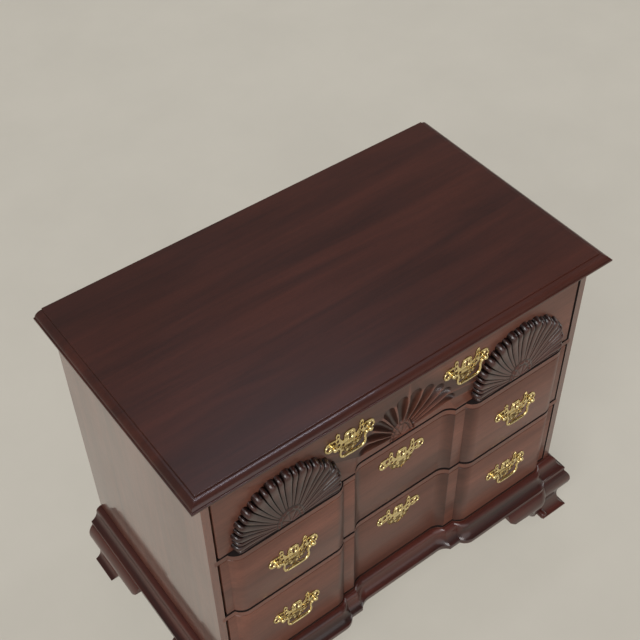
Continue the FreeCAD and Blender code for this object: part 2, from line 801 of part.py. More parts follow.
def drawer_side(name, opening):
    """A side board with dovetails at its front, a groove for the bottom and a dado for the back."""
    body = new_body(name)
    outline = sketch_on(body, "YZ_Plane", name + "_outline", SIDE_FACE)
    top = "%s - Sizes.drawer_top_drop" % opening
    corners = [(FRONT_REAR, "0"), (DRAWER_END, "0"), (DRAWER_END, top), (FRONT_REAR, top)]
    for index in reversed(range(TAILS)):
        corners += tail_corners(opening, index)
    draw(outline, corners)
    pad(body, outline, cell("drawer_side"))
    groove = sketch_on(body, "YZ_Plane", name + "_groove", SIDE_FACE)
    begin = "%s - Sizes.front_thickness" % FRONT_REAR
    rectangle(groove, begin, "%s + Sizes.drawer_dado" % DRAWER_END, cell("bottom_height"), PANEL_TOP)
    pocket(body, groove, "2 * Sizes.bottom_groove")
    dado = sketch_on(body, "YZ_Plane", name + "_dado", SIDE_FACE)
    rear = "(%s - Sizes.drawer_back_set_in)" % DRAWER_END
    above = "%s + Sizes.drawer_top_drop" % opening
    rectangle(dado, "%s - Sizes.drawer_back" % rear, rear, PANEL_TOP, above)
    pocket(body, dado, "2 * Sizes.drawer_dado")
    return body


def joint_front(body, opening, post_middle, post_level):
    """Cuts dovetail sockets, the groove for the bottom and the holes for the pull posts."""
    for side, sign in (("right", ""), ("left", "-")):
        sockets = sketch_on(body, "YZ_Plane", "sockets_" + side, sign + DRAWER_HALF)
        for index in range(TAILS):
            draw(sockets, tail_corners(opening, index))
        pocket(body, sockets, "2 * Sizes.drawer_side")
    groove = sketch_on(body, "XY_Plane", "bottom_groove", cell("bottom_height"))
    begin = "%s - Sizes.bottom_front_groove" % FRONT_REAR
    after = "%s + Sizes.bottom_front_groove" % FRONT_REAR
    rectangle(groove, "-" + PANEL_HALF, PANEL_HALF, begin, after)
    cut = body.newObject("PartDesign::Pocket", "Groove")
    cut.Profile = groove
    cut.setExpression("Length", cell("bottom_thickness"))
    cut.Reversed = True
    holes = sketch_on(body, "XZ_Plane", "post_holes")
    for sign in ("", "-"):
        for step in ("+", "-"):
            across = "%s(%s %s Sizes.post_half_span)" % (sign, post_middle, step)
            octagon(holes, across, post_level, cell("post_hole"))
    pocket(body, holes, THROUGH)


def make_drawer(number, floor, opening, front):
    """The box of one drawer behind its front."""
    prefix = "drawer_%d_" % number
    keep(front, prefix + "front")
    side = place(drawer_side(prefix + "side", opening), z=floor)
    pair(side, prefix + "side_%s")
    rear = "(%s - Sizes.drawer_back_set_in)" % DRAWER_END
    half = "(%s + Sizes.drawer_dado)" % SIDE_FACE
    back = box(prefix + "back_board", "-" + half, half, "(%s - Sizes.drawer_back)" % rear, rear,
               "%s + %s" % (floor, PANEL_TOP), "%s + %s - Sizes.drawer_top_drop" % (floor, opening))
    keep(back, prefix + "back")
    low = "(%s + Sizes.bottom_height)" % floor
    bottom = box(prefix + "panel", "-" + PANEL_HALF, PANEL_HALF,
                 "(%s - Sizes.bottom_front_groove)" % FRONT_REAR, rear,
                 low, "%s + Sizes.bottom_thickness" % low)
    keep(bottom, prefix + "bottom")


def make_blocked_drawer(number, floor, opening, level):
    """A drawer whose front follows the blocked line."""
    height = "%s - 2 * Sizes.drawer_gap" % opening
    name = "drawer_%d_blocked" % number
    front = blocked_board(name, DRAWER_HALF, FRONT_REAR, height, cell("drawer_gap"))
    joint_front(front, opening, BLOCK_MIDDLE, level)
    make_drawer(number, floor, opening, place(front, z=floor))


# ---------------------------------------------------------------------------------------------
# The carved shells of the top drawer
# ---------------------------------------------------------------------------------------------
RAY_SWELL = 1.15
RAISED_RAYS = 13
HOLLOW_RAYS = 11
ARCH_FACETS = 6
END_TURNS = (35, 70)
ROSETTE_SIDES = 20
ROSETTE_WAYS = [FreeCAD.Rotation(Y_WAY, 360 * index / ROSETTE_SIDES).multVec(X_WAY)
                for index in range(ROSETTE_SIDES)]


def arch_section(half_width, foot):
    """A ray's cross-section: upright feet and a round top, as (across, out) from its base."""
    spots = [(half_width, 0)]
    for index in range(ARCH_FACETS + 1):
        turn = math.pi * index / ARCH_FACETS
        spots.append((half_width * math.cos(turn), foot + half_width * math.sin(turn)))
    spots.append((-half_width, 0))
    return spots


def closed_solid(sections):
    """The solid between flat sections that have the same number of corners."""
    faces = [Part.Face(Part.makePolygon(end + end[:1])) for end in (sections[0], sections[-1])]
    for near, far in zip(sections, sections[1:]):
        for index in range(len(near)):
            after = (index + 1) % len(near)
            side = [near[index], near[after], far[after], far[index], near[index]]
            faces.append(Part.Face(Part.makePolygon(side)))
    solid = Part.makeSolid(Part.makeShell(faces))
    if solid.Volume < 0:
        solid.reverse()
    return solid


def ray(hub, turn, stations, out):
    """One ray from the hub: its arched section widens along it and rounds over at the end.
    A station is a distance along the ray, a half width and the height of the feet."""
    along = V(math.cos(turn), 0, math.sin(turn))
    across = V(-math.sin(turn), 0, math.cos(turn))
    sections = []
    for distance, half_width, foot in stations:
        middle = hub + along * distance
        spots = arch_section(half_width, foot)
        sections.append([middle + across * side + out * height for side, height in spots])
    return closed_solid(sections)


def rim_reach(radius, lift, turn):
    """How far a round rim lies from the hub in one direction, with its centre above the hub."""
    return lift * math.sin(turn) + math.sqrt(radius ** 2 - (lift * math.cos(turn)) ** 2)


def rays(count, radius, lift, hub, out, foot):
    """A fan of rays that fills half a turn and ends on a round rim, each ray a little wider
    than its share so that neighbours run into one another."""
    spread = math.tan(RAY_SWELL * math.pi / count / 2)
    root = value(cell("ray_root"))
    fan = []
    for index in range(count):
        turn = (index + 0.5) * math.pi / count
        reach = rim_reach(radius, lift, turn) / (1 + spread)
        ball = reach * spread
        stations = [(root, root * spread, foot), (reach, ball, foot)]
        for degrees in END_TURNS:
            end = math.radians(degrees)
            stations.append((reach + ball * math.sin(end), ball * math.cos(end), foot * math.cos(end)))
        fan.append(ray(hub, turn, stations, out))
    return fan


def rosette(hub, out, radius, shoulder, edge, rise):
    """A low many-sided boss: an upright edge, a bevel to the shoulder and a shallow tip."""
    stations = [(0, radius), (edge, radius), (rise * 0.9, shoulder), (rise, shoulder / 2)]
    sections = []
    for height, reach in stations:
        sections.append([hub + out * height + around * reach for around in ROSETTE_WAYS])
    return closed_solid(sections)


def block_foot(low, high):
    """The short length of block under a raised shell."""
    corners, _ = blocked_line(CORNER_PIECES)
    right = corners[-2 - 2 * CORNER_PIECES:]
    spots = [V(value(across), value(back), low) for across, back in right]
    return Part.Face(Part.makePolygon(spots + spots[:1])).extrude(V(0, 0, high - low))


def make_raised_shell(floor):
    """A convex shell that crowns the right block; its twin crowns the left one."""
    low = value(floor) + value(cell("drawer_gap"))
    height = value(floor) + value(cell("shell_height"))
    hub = V(value(BLOCK_MIDDLE), value(FRONT), height)
    radius = value(SHELL_RADIUS)
    rim_lift = value(cell("raised_rim_lift"))
    fan = rays(RAISED_RAYS, radius, rim_lift, hub, -Y_WAY, value(cell("shell_lift")))
    boss = rosette(hub, -Y_WAY, value(cell("rosette_radius")), value(cell("rosette_shoulder")),
                   value(cell("rosette_edge")), value(cell("rosette_rise")))
    upper = Part.makeBox(2 * radius, radius, radius, V(hub.x - radius, hub.y - radius, height))
    shell = block_foot(low, height).multiFuse(fan + [boss.common(upper)])
    piece = doc.addObject("Part::Feature", "raised_shell")
    piece.Shape = shell.removeSplitter()
    piece.Placement = FreeCAD.Placement()
    pair(piece, "drawer_1_shell_%s")


def make_shell_front(floor, opening, level):
    """The flat front of the top drawer with a shell carved into its middle."""
    blank = new_body("shell_front")
    outline = sketch_on(blank, "XY_Plane", "shell_front_plan", cell("drawer_gap"))
    rectangle(outline, "-" + DRAWER_HALF, DRAWER_HALF, FRONT, FRONT_REAR)
    pad(blank, outline, "%s - 2 * Sizes.drawer_gap" % opening)
    joint_front(blank, opening, STRIP_MIDDLE, level)
    place(blank, z=floor)
    recess = new_body("shell_recess")
    plan = sketch_on(recess, "XY_Plane", "shell_recess_plan")
    corners, bends = blocked_line()
    draw(plan, corners[4:8], {0: bends[4], 2: bends[6]})
    pad(recess, plan, cell("shell_height"))
    place(recess, z=floor)
    height = value(floor) + value(cell("shell_height"))
    deep = value(cell("recess_depth"))
    hub = V(0, value(FRONT), height)
    rim_lift = value(cell("hollow_rim_lift"))
    fan = rays(HOLLOW_RAYS, value(HOLLOW_RADIUS), rim_lift, hub, Y_WAY, 0)
    radius = value(cell("rosette_radius"))
    well = Part.makeCylinder(radius, deep, hub, Y_WAY)
    tool = doc.addObject("Part::Feature", "shell_flutes")
    tool.Shape = well.multiFuse(fan)
    tool.Placement = FreeCAD.Placement()
    hollow = doc.addObject("Part::Cut", "shell_hollow")
    hollow.Base = blank
    hollow.Tool = recess
    fluted = doc.addObject("Part::Cut", "shell_fluted")
    fluted.Base = hollow
    fluted.Tool = tool
    dome = rosette(hub + Y_WAY * deep, -Y_WAY, value(cell("hollow_rosette_radius")),
                   value(cell("rosette_shoulder")), value(cell("hollow_rosette_edge")),
                   value(cell("hollow_rosette_rise")))
    room = Part.makeBox(2 * radius, 2 * deep, radius, V(-radius, hub.y, height))
    boss = doc.addObject("Part::Feature", "hollow_rosette")
    boss.Shape = dome.common(room)
    boss.Placement = FreeCAD.Placement()
    carved = doc.addObject("Part::Fuse", "shell_carved")
    carved.Base = fluted
    carved.Tool = boss
    return carved


# ---------------------------------------------------------------------------------------------
# The brasses
# ---------------------------------------------------------------------------------------------
def plate_outline():
    """The right half of a plate from the top of its dome to its point, with the bends."""
    corners = [
        ("0", cell("dome_top")),
        (cell("dome_half") + " * 0.8", "Sizes.dome_top * 0.75"),
        (cell("dome_half"), cell("dome_low")),
        (cell("valley_out"), "-Sizes.valley_low"),
        (cell("horn_out"), cell("horn_top")),
        (cell("wing_root_out"), cell("wing_root_top")),
        (cell("wing_tip_out"), "-Sizes.wing_tip_low"),
        (cell("wing_corner_out"), "-Sizes.wing_low"),
        (cell("waist_out"), "-Sizes.waist_low"),
        (cell("hip_out"), "-Sizes.hip_low"),
        (cell("heel_out"), "-Sizes.heel_low"),
        ("0", "-Sizes.point_low"),
    ]
    lobe = cell("wing_tip_out") + " - Sizes.post_half_span"
    bends = {5: ("1.3 * (%s)" % lobe, "left"), 6: (lobe, "left")}
    return corners, bends


def diamond(sketch, across, up):
    """Draws one small pierced hole."""
    half = "Sizes.piercing_half"
    draw(sketch, [
        ("%s + %s" % (across, half), up),
        (across, "%s + %s" % (up, half)),
        ("%s - %s" % (across, half), up),
        (across, "%s - %s" % (up, half)),
    ])


def plate(name, with_posts):
    """A pierced plate: a domed centre between two horns, wide wings and a pointed foot."""
    body = new_body(name)
    sketch = sketch_on(body, "XZ_Plane", name + "_outline")
    corners, bends = plate_outline()
    count = len(corners) - 1
    for index in range(count - 1, 0, -1):
        across, up = corners[index]
        corners.append(("-" + across, up))
    for index, bend in list(bends.items()):
        bends[2 * count - 1 - index] = bend
    draw(sketch, corners, bends)
    octagon(sketch, "0", cell("keyhole_rise"), cell("keyhole_radius"))
    for sign in ("", "-"):
        if with_posts:
            octagon(sketch, sign + "Sizes.post_half_span", "0", cell("post_hole"))
        diamond(sketch, sign + "Sizes.piercing_out", "-Sizes.piercing_low")
    pad(body, sketch, cell("plate_thickness"))
    return body


def post(name, inward, shank):
    """A post, eight-sided all along: a shank, and in front of the plate a collar, a neck and a
    bevelled head that is bored for the end of the bail."""
    pivot = value(cell("pivot_out"))
    head = value(cell("post_head_length")) / 2
    bevel = value(cell("post_head_bevel"))
    plate_face = value(cell("plate_thickness"))
    stations = [
        (-value(shank), value(cell("post_radius"))),
        (plate_face, value(cell("post_radius"))),
        (plate_face, value(cell("post_collar"))),
        (pivot - head, value(cell("post_neck"))),
        (pivot - head + bevel, value(cell("post_head"))),
        (pivot + head - bevel, value(cell("post_head"))),
        (pivot + head, value(cell("post_neck"))),
    ]
    ways = [FreeCAD.Rotation(Y_WAY, 22.5 + 45 * index).multVec(X_WAY) for index in range(8)]
    sections = [[way * reach - Y_WAY * out for way in ways] for out, reach in stations]
    stem = doc.addObject("Part::Feature", name + "_stem")
    stem.Shape = closed_solid(sections)
    stem.Placement = FreeCAD.Placement()
    bore = doc.addObject("Part::Prism", name + "_bore")
    bore.Polygon = 8
    bore.setExpression("Circumradius", "Sizes.bail_bore / cos(22.5)")
    bore.setExpression("Height", "3 * Sizes.post_head")
    lay = FreeCAD.Rotation(Y_WAY, 90).multiply(FreeCAD.Rotation(Z_WAY, 22.5))
    bore.Placement = FreeCAD.Placement(V(0, 0, 0), lay)
    start = "-Sizes.post_neck" if inward == "1" else "Sizes.post_neck - 3 * Sizes.post_head"
    place(bore, start, "-Sizes.pivot_out")
    piece = doc.addObject("Part::Cut", name)
    piece.Base = stem
    piece.Tool = bore
    return piece


def bail(name):
    """A hanging handle: an eight-sided bar bent to a U, with a thinner pin at each end."""
    body = new_body(name)
    start = "(Sizes.bail_half + Sizes.bail_bend + Sizes.bail_shoulder)"
    path = sketch_on(body, "XZ_Plane", name + "_path")
    half = cell("bail_half")
    drop = cell("bail_drop")
    corner = cell("bail_corner")
    right = [
        ("%s - %s" % (half, corner), "-" + drop),
        ("%s - 0.3 * %s" % (half, corner), "-(%s - 0.3 * %s)" % (drop, corner)),
        (half, "-(%s - %s)" % (drop, corner)),
        (half, "-Sizes.bail_bend"),
        ("%s + Sizes.bail_bend" % half, "0"),
        (start, "0"),
    ]
    left = [("-(%s)" % across, up) for across, up in reversed(right)]
    draw(path, left + right, closed=False)
    bar = sketch_on(body, "YZ_Plane", name + "_bar", "-" + start)
    octagon(bar, "0", "0", cell("bail_radius"))
    pipe = body.newObject("PartDesign::AdditivePipe", "Bar")
    pipe.Profile = bar
    pipe.Spine = (path, [])
    pipe.Transition = "Right corner"
    end = "(Sizes.post_half_span - Sizes.bail_pin_gap)"
    for side, sign in (("right", ""), ("left", "-")):
        pin = sketch_on(body, "YZ_Plane", name + "_pin_" + side, "%s(%s + %s) / 2" % (sign, start, end))
        octagon(pin, "0", "0", "(Sizes.bail_pin * cos(22.5))")
        pad(body, pin, "%s - %s" % (end, start), True)
    return body


def nut(name, across, level):
    """A six-sided nut on the back of a drawer front."""
    prism = doc.addObject("Part::Prism", name + "_blank")
    prism.Polygon = 6
    hole = doc.addObject("Part::Prism", name + "_hole")
    hole.Polygon = 8
    prism.setExpression("Circumradius", cell("nut_radius"))
    prism.setExpression("Height", cell("nut_thickness"))
    hole.setExpression("Circumradius", "Sizes.post_hole / cos(22.5)")
    hole.setExpression("Height", cell("nut_thickness"))
    for item in (prism, hole):
        item.Placement = FreeCAD.Placement(V(0, 0, 0), FreeCAD.Rotation(X_WAY, -90))
        place(item, across, FRONT_REAR, level)
    piece = doc.addObject("Part::Cut", name)
    piece.Base = prism
    piece.Tool = hole
    return piece


def make_pulls(number, floor, level, middle, face, shank):
    """The plates, posts, nuts and bails of one drawer."""
    height = "%s + %s" % (floor, level)
    tag = "_%d" % number
    right_plate = place(plate("plate" + tag, True), middle, face, height)
    plates = doc.addObject("Part::Compound", "plates" + tag)
    plates.Links = [right_plate, mirrored(right_plate, "plate_left" + tag)]
    keep(plates, "pull_plates" + tag)
    fixings = []
    for side, step, inward in (("outer", "+", "-1"), ("inner", "-", "1")):
        across = "%s %s Sizes.post_half_span" % (middle, step)
        right_post = place(post("post_" + side + tag, inward, shank), across, face, height)
        right_nut = nut("nut_" + side + tag, across, height)
        fixings += [right_post, mirrored(right_post, "post_left_" + side + tag)]
        fixings += [right_nut, mirrored(right_nut, "nut_left_" + side + tag)]
    posts = doc.addObject("Part::Compound", "posts" + tag)
    posts.Links = fixings
    keep(posts, "pull_posts" + tag)
    right_bail = place(bail("bail" + tag), middle, "%s - Sizes.pivot_out" % face, height)
    pair(right_bail, "bail" + tag + "_%s")


def make_escutcheon(number, floor, level):
    """The keyhole plate in the recess of a lower drawer."""
    face = "(%s + Sizes.recess_depth)" % FRONT
    piece = place(plate("keyhole_plate_%d" % number, False), "0", face, "%s + %s" % (floor, level))
    keep(piece, "escutcheon_%d" % number)


# ---------------------------------------------------------------------------------------------
# The chest
# ---------------------------------------------------------------------------------------------
make_top()
make_sides()
make_shelves()
make_stops()
make_base_moulding()
make_front_feet()
make_rear_feet()
make_glue_blocks()

flat_shank = "(Sizes.front_thickness + Sizes.post_tail)"
block_shank = "(%s + Sizes.block_projection)" % flat_shank
block_face = ahead(cell("block_projection"))

shell_front = make_shell_front(FLOOR_HIGH, cell("opening_high"), cell("pull_high"))
make_drawer(1, FLOOR_HIGH, cell("opening_high"), shell_front)
make_raised_shell(FLOOR_HIGH)
make_pulls(1, FLOOR_HIGH, cell("pull_high"), STRIP_MIDDLE, FRONT, flat_shank)

make_blocked_drawer(2, FLOOR_MIDDLE, cell("opening_middle"), cell("pull_middle"))
make_pulls(2, FLOOR_MIDDLE, cell("pull_middle"), BLOCK_MIDDLE, block_face, block_shank)
make_escutcheon(2, FLOOR_MIDDLE, cell("keyhole_middle"))

make_blocked_drawer(3, FLOOR_LOW, cell("opening_low"), cell("pull_low"))
make_pulls(3, FLOOR_LOW, cell("pull_low"), BLOCK_MIDDLE, block_face, block_shank)
make_escutcheon(3, FLOOR_LOW, cell("keyhole_low"))

doc.recompute()

# ---------------------------------------------------------------------------------------------
# Checks and files
# ---------------------------------------------------------------------------------------------
for item in doc.Objects:
    if "Invalid" in item.State or "Error" in item.State:
        raise RuntimeError("%s did not recompute: %s" % (item.Name, item.State))

for piece in nodes:
    if piece.Shape.isNull() or not piece.Shape.isValid():
        raise RuntimeError("%s has no valid shape" % piece.Label)
    if not piece.Shape.Solids:
        raise RuntimeError("%s is not solid" % piece.Label)

os.makedirs("parts", exist_ok=True)
for piece in nodes:
    piece.Shape.exportStep(os.path.join("parts", piece.Label + ".step"))
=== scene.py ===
"""Dresses the block front chest: finely cut fronts, carved shells, mouldings, feet, brasses and
finishes are built over the boards of the fixed frame.  Metres, +Z up, front towards -Y."""
import math

import bmesh
import bpy
import numpy as np
from mathutils import Matrix, Vector


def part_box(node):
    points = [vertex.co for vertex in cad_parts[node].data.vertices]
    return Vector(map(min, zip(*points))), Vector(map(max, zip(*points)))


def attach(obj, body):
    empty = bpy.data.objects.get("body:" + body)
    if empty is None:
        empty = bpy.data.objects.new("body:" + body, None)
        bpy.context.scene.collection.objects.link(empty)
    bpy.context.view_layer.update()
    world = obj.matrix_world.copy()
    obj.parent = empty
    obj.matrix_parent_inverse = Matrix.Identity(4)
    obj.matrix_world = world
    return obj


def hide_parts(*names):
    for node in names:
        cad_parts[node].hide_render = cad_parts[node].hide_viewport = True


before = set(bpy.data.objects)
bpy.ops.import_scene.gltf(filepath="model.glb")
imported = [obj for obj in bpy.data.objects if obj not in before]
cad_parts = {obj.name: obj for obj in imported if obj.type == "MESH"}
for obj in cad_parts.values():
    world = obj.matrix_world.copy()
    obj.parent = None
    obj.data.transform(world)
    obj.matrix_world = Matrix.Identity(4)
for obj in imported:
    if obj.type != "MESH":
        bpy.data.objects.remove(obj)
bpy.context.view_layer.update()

bl_info = {
    "name": "Block Front Chest",
    "version": (1, 0, 0),
    "blender": (4, 5, 0),
    "location": "3D View > Sidebar > Chest",
    "description": "Builds the carved fronts, mouldings, feet, brasses and finishes of the chest",
    "category": "Object",
}

MM = 0.001
ALONG_X, ALONG_Y, ALONG_Z = 0, 1, 2


# ---------------------------------------------------------------------------------------------
# Planes taken from the frame
# ---------------------------------------------------------------------------------------------
SIDE_LOW, SIDE_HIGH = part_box("side_right")
FRONT = SIDE_LOW.y
BACK = SIDE_HIGH.y
HALF = SIDE_HIGH.x
CASE_TOP = SIDE_HIGH.z
FOOT_TOP = SIDE_LOW.z
FRONT_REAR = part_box("drawer_1_front")[1].y
DRAWER_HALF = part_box("drawer_1_front")[1].x
LAP = 4 * MM  # how far a bracket reaches in under the case
TOE_OUT = 43.6 * MM  # how far the toe of a foot stands out
BRACKET_LENGTH = 155 * MM  # from a foot's corner to the end of its wing
PLATE_DROP = 43 * MM  # from a plate's posts down to its tip


# ---------------------------------------------------------------------------------------------
# Sizes and colours
# ---------------------------------------------------------------------------------------------
def length(name, description, millimetres):
    return bpy.props.FloatProperty(name=name, description=description, default=millimetres * MM,
                                   min=0, unit="LENGTH", precision=4)


def colour(name, description, value):
    return bpy.props.FloatVectorProperty(name=name, description=description, default=value, size=3,
                                         min=0, max=1, subtype="COLOR")


def count(name, description, value):
    return bpy.props.IntProperty(name=name, description=description, default=value, min=3)


class ChestSizes(bpy.types.PropertyGroup):
    """Sizes of the carved and moulded parts."""
    recess_half: length("Recess half width", "Half the width of the sunk middle", 119)
    recess_depth: length("Recess depth", "How far the middle is sunk", 13)
    block_inner: length("Block inner edge", "From the middle to the inner edge of a block", 146)
    block_outer: length("Block outer edge", "From the middle to the outer edge of a block", 393)
    block_projection: length("Block projection", "How far a block stands out", 14)
    corner_radius: length("Corner radius", "Radius of the rounded block corners", 30)
    arris: length("Arris", "Softening of the drawer fronts' edges", 1.6)
    top_seam: length("Top seam", "What is planed off a drawer's upper edge", 1.3)
    low_seam: length("Lower seam", "What is planed off a drawer's lower edge", 4.4)
    end_seam: length("End seam", "What is planed off a drawer's ends", 3.6)
    shell_level: length("Shell level", "From the drawer's lower edge to the shells' hubs", 4.8)
    shell_rise: length("Shell rise", "Height of the raised shells' lobes", 16.5)
    shell_radius: length("Raised rim", "Radius of a raised shell's rim", 115)
    shell_rim_lift: length("Raised rim lift", "Height of the raised rim's centre over the hub", 22)
    shell_rays: count("Raised lobes", "Lobes of a raised shell", 13)
    hollow_radius: length("Hollow radius", "Radius of the hollow shell's rim", 116)
    hollow_rim_lift: length("Hollow rim lift", "Height of the hollow rim's centre over the hub", 17)
    hollow_depth: length("Hollow depth", "Depth of the hollow shell's flutes", 15)
    hollow_rays: count("Hollow flutes", "Flutes of the hollow shell", 10)
    rosette_half: length("Rosette half width", "Half the width of the arched rosettes", 28)
    rosette_height: length("Rosette height", "Height of the arched rosettes", 42)
    post_half_span: length("Post half span", "Half the distance between a pull's posts", 38.1)
    pivot_out: length("Pivot distance", "From the drawer's face to the bail's axis", 9.5)
    bail_radius: length("Bail radius", "Half the thickness of a bail", 2.9)
    bail_half: length("Bail half width", "Half the distance between the bail's arms", 27)
    bail_drop: length("Bail drop", "From the bail's axis to its grip", 32)
    plate_thickness: length("Plate thickness", "Thickness of the brass plates", 1.6)


class ChestColours(bpy.types.PropertyGroup):
    """Colours of the finishes and of the stage."""
    wood_dark: colour("Wood, dark", "Dark streaks of the mahogany", (0.120, 0.041, 0.025))
    wood_light: colour("Wood, light", "Light streaks of the mahogany", (0.225, 0.082, 0.052))
    trim_dark: colour("Trim, dark", "Dark streaks of mouldings, feet and carving", (0.022, 0.006, 0.005))
    trim_light: colour("Trim, light", "Light streaks of mouldings, feet and carving", (0.105, 0.020, 0.012))
    carved_dark: colour("Carving, dark", "Dark streaks of the raised shells", (0.050, 0.012, 0.008))
    carved_light: colour("Carving, light", "Light streaks of the raised shells", (0.150, 0.044, 0.030))
    top_dark: colour("Top, dark", "Dark streaks of the top board", (0.036, 0.008, 0.005))
    top_light: colour("Top, light", "Light streaks of the top board", (0.078, 0.018, 0.010))
    inner_dark: colour("Inner wood, dark", "Dark streaks of the drawer boxes", (0.40, 0.26, 0.14))
    inner_light: colour("Inner wood, light", "Light streaks of the drawer boxes", (0.62, 0.45, 0.27))
    brass_bright: colour("Brass, bright", "Polished brass", (0.87, 0.71, 0.35))
    # brass_dull is both the tarnish in patches and the painted shade on the plates' border
    brass_dull: colour("Brass, dull", "Tarnish in the hollows of the brass", (0.17, 0.095, 0.025))
    floor: colour("Floor", "Colour of the floor", (0.590, 0.556, 0.482))


# ---------------------------------------------------------------------------------------------
# Finishes
# ---------------------------------------------------------------------------------------------
class Graph:
    """The nodes of a tree, added and linked by name."""

    def __init__(self, tree):
        self.tree = tree
        tree.nodes.clear()

    def add(self, kind, inputs=None, **settings):
        node = self.tree.nodes.new(kind)
        for key, value in settings.items():
            setattr(node, key, value)
        for key, value in (inputs or {}).items():
            if isinstance(value, bpy.types.NodeSocket):
                self.tree.links.new(value, node.inputs[key])
            else:
                node.inputs[key].default_value = value
        return node


class Finish(Graph):
    """The nodes of a material."""

    def __init__(self, name):
        self.material = bpy.data.materials.get(name) or bpy.data.materials.new(name)
        self.material.use_nodes = True
        super().__init__(self.material.node_tree)

    def ramp(self, factor, stops):
        node = self.add("ShaderNodeValToRGB", {"Fac": factor})
        elements = node.color_ramp.elements
        while len(elements) < len(stops):
            elements.new(0.5)
        for element, (position, value) in zip(elements, stops):
            element.position = position
            element.color = (*value, 1) if hasattr(value, "__len__") else (value, value, value, 1)
        return node.outputs["Color"]

    def mix(self, factor, first, second, blend="MIX"):
        node = self.add("ShaderNodeMix", data_type="RGBA", blend_type=blend)
        for socket, value in ((node.inputs[0], factor), (node.inputs[6], first),
                              (node.inputs[7], second)):
            if isinstance(value, bpy.types.NodeSocket):
                self.tree.links.new(value, socket)
            elif socket.type == "RGBA":
                socket.default_value = (*value, 1)
            else:
                socket.default_value = value
        return node.outputs[2]

    def finish(self, inputs):
        shader = self.add("ShaderNodeBsdfPrincipled", inputs)
        self.add("ShaderNodeOutputMaterial", {"Surface": shader.outputs[0]})
        return self.material


def grain_coordinates(graph, along, stretch=0.06):
    """Object coordinates squeezed along the grain, so that patterns run out into streaks."""
    scale = [1.0, 1.0, 1.0]
    scale[along] = stretch
    place = graph.add("ShaderNodeTexCoord").outputs["Object"]
    return graph.add("ShaderNodeMapping", {"Vector": place, "Scale": scale}).outputs["Vector"]


def streaks(graph, where, scale, detail, distortion=0.0):
    return graph.add("ShaderNodeTexNoise", {"Vector": where, "Scale": scale, "Detail": detail,
                                            "Roughness": 0.62, "Distortion": distortion}).outputs["Fac"]


# least and most roughness, coat and roughness of the coat
FRONT_GLOSS = (0.36, 0.44, 0.12, 0.12)
TRIM_GLOSS = (0.30, 0.38, 0.36, 0.05)
TOP_GLOSS = (0.34, 0.40, 0.60, 0.04)
SIDE_GLOSS = (0.30, 0.38, 0.95, 0.08)


def polished_wood(name, along, dark, light, gloss, shaded=None):
    """Mahogany with broad streaks, fine fibres, open pores and a rubbed gloss. A point's crevice share
    is painted shade that darkens the tone. Faces that are turned the shaded way lie inside the case
    and are painted nearly black, as painted shade."""
    graph = Finish(name)
    broad = streaks(graph, grain_coordinates(graph, along, 0.10), 17, 5, 0.5)
    fine = streaks(graph, grain_coordinates(graph, along, 0.035), 150, 6)
    pores = streaks(graph, grain_coordinates(graph, along, 0.05), 1500, 2)
    cloud = streaks(graph, graph.add("ShaderNodeTexCoord").outputs["Object"], 5, 3)
    tone = graph.ramp(broad, [(0.33, dark), (0.68, light)])
    fibre = graph.ramp(fine, [(0.30, 0.62), (0.66, 1.0)])
    tone = graph.mix(0.55, tone, fibre, "MULTIPLY")
    pore = graph.ramp(pores, [(0.34, 0.35), (0.43, 1.0)])
    tone = graph.mix(0.5, tone, pore, "MULTIPLY")
    # painted shade: the crevice share darkens the tone towards a tenth of its dark streaks in inner corners,
    # on carving and in hollows
    hollow = graph.add("ShaderNodeAttribute", attribute_name="crevice").outputs["Fac"]
    tone = graph.mix(hollow, tone, tuple(0.10 * part for part in dark))
    smear = graph.ramp(cloud, [(0.30, gloss[0]), (0.72, gloss[1])])
    if shaded:
        # painted shade: faces turned the shaded way (the rails' upper faces and the sides' inner faces seen
        # in the seams) are painted nearly black and made rough
        facing = graph.add("ShaderNodeTexCoord").outputs["Normal"]
        turned = graph.add("ShaderNodeVectorMath", {0: facing, 1: shaded}, operation="DOT_PRODUCT")
        inside = graph.ramp(turned.outputs["Value"], [(0.45, 0.0), (0.75, 1.0)])
        tone = graph.mix(inside, tone, (0.010, 0.003, 0.002))
        smear = graph.mix(inside, smear, (0.85, 0.85, 0.85))
    relief = graph.add("ShaderNodeBump", {"Strength": 0.02, "Distance": 0.0003, "Height": pore})
    return graph.finish({"Base Color": tone, "Roughness": smear, "Normal": relief.outputs[0],
                         "IOR": 1.50, "Coat Weight": gloss[2], "Coat Roughness": gloss[3], "Coat IOR": 1.5})


def raw_wood(name, along, dark, light):
    """Plain inner wood, planed and left bare."""
    graph = Finish(name)
    broad = streaks(graph, grain_coordinates(graph, along, 0.07), 22, 4, 0.8)
    fine = streaks(graph, grain_coordinates(graph, along, 0.03), 260, 4)
    tone = graph.ramp(broad, [(0.3, dark), (0.7, light)])
    fibre = graph.ramp(fine, [(0.3, 0.72), (0.7, 1.0)])
    tone = graph.mix(0.6, tone, fibre, "MULTIPLY")
    relief = graph.add("ShaderNodeBump", {"Strength": 0.25, "Distance": 0.0003, "Height": fibre})
    return graph.finish({"Base Color": tone, "Roughness": graph.ramp(fine, [(0.3, 0.62), (0.7, 0.75)]),
                         "Normal": relief.outputs[0]})


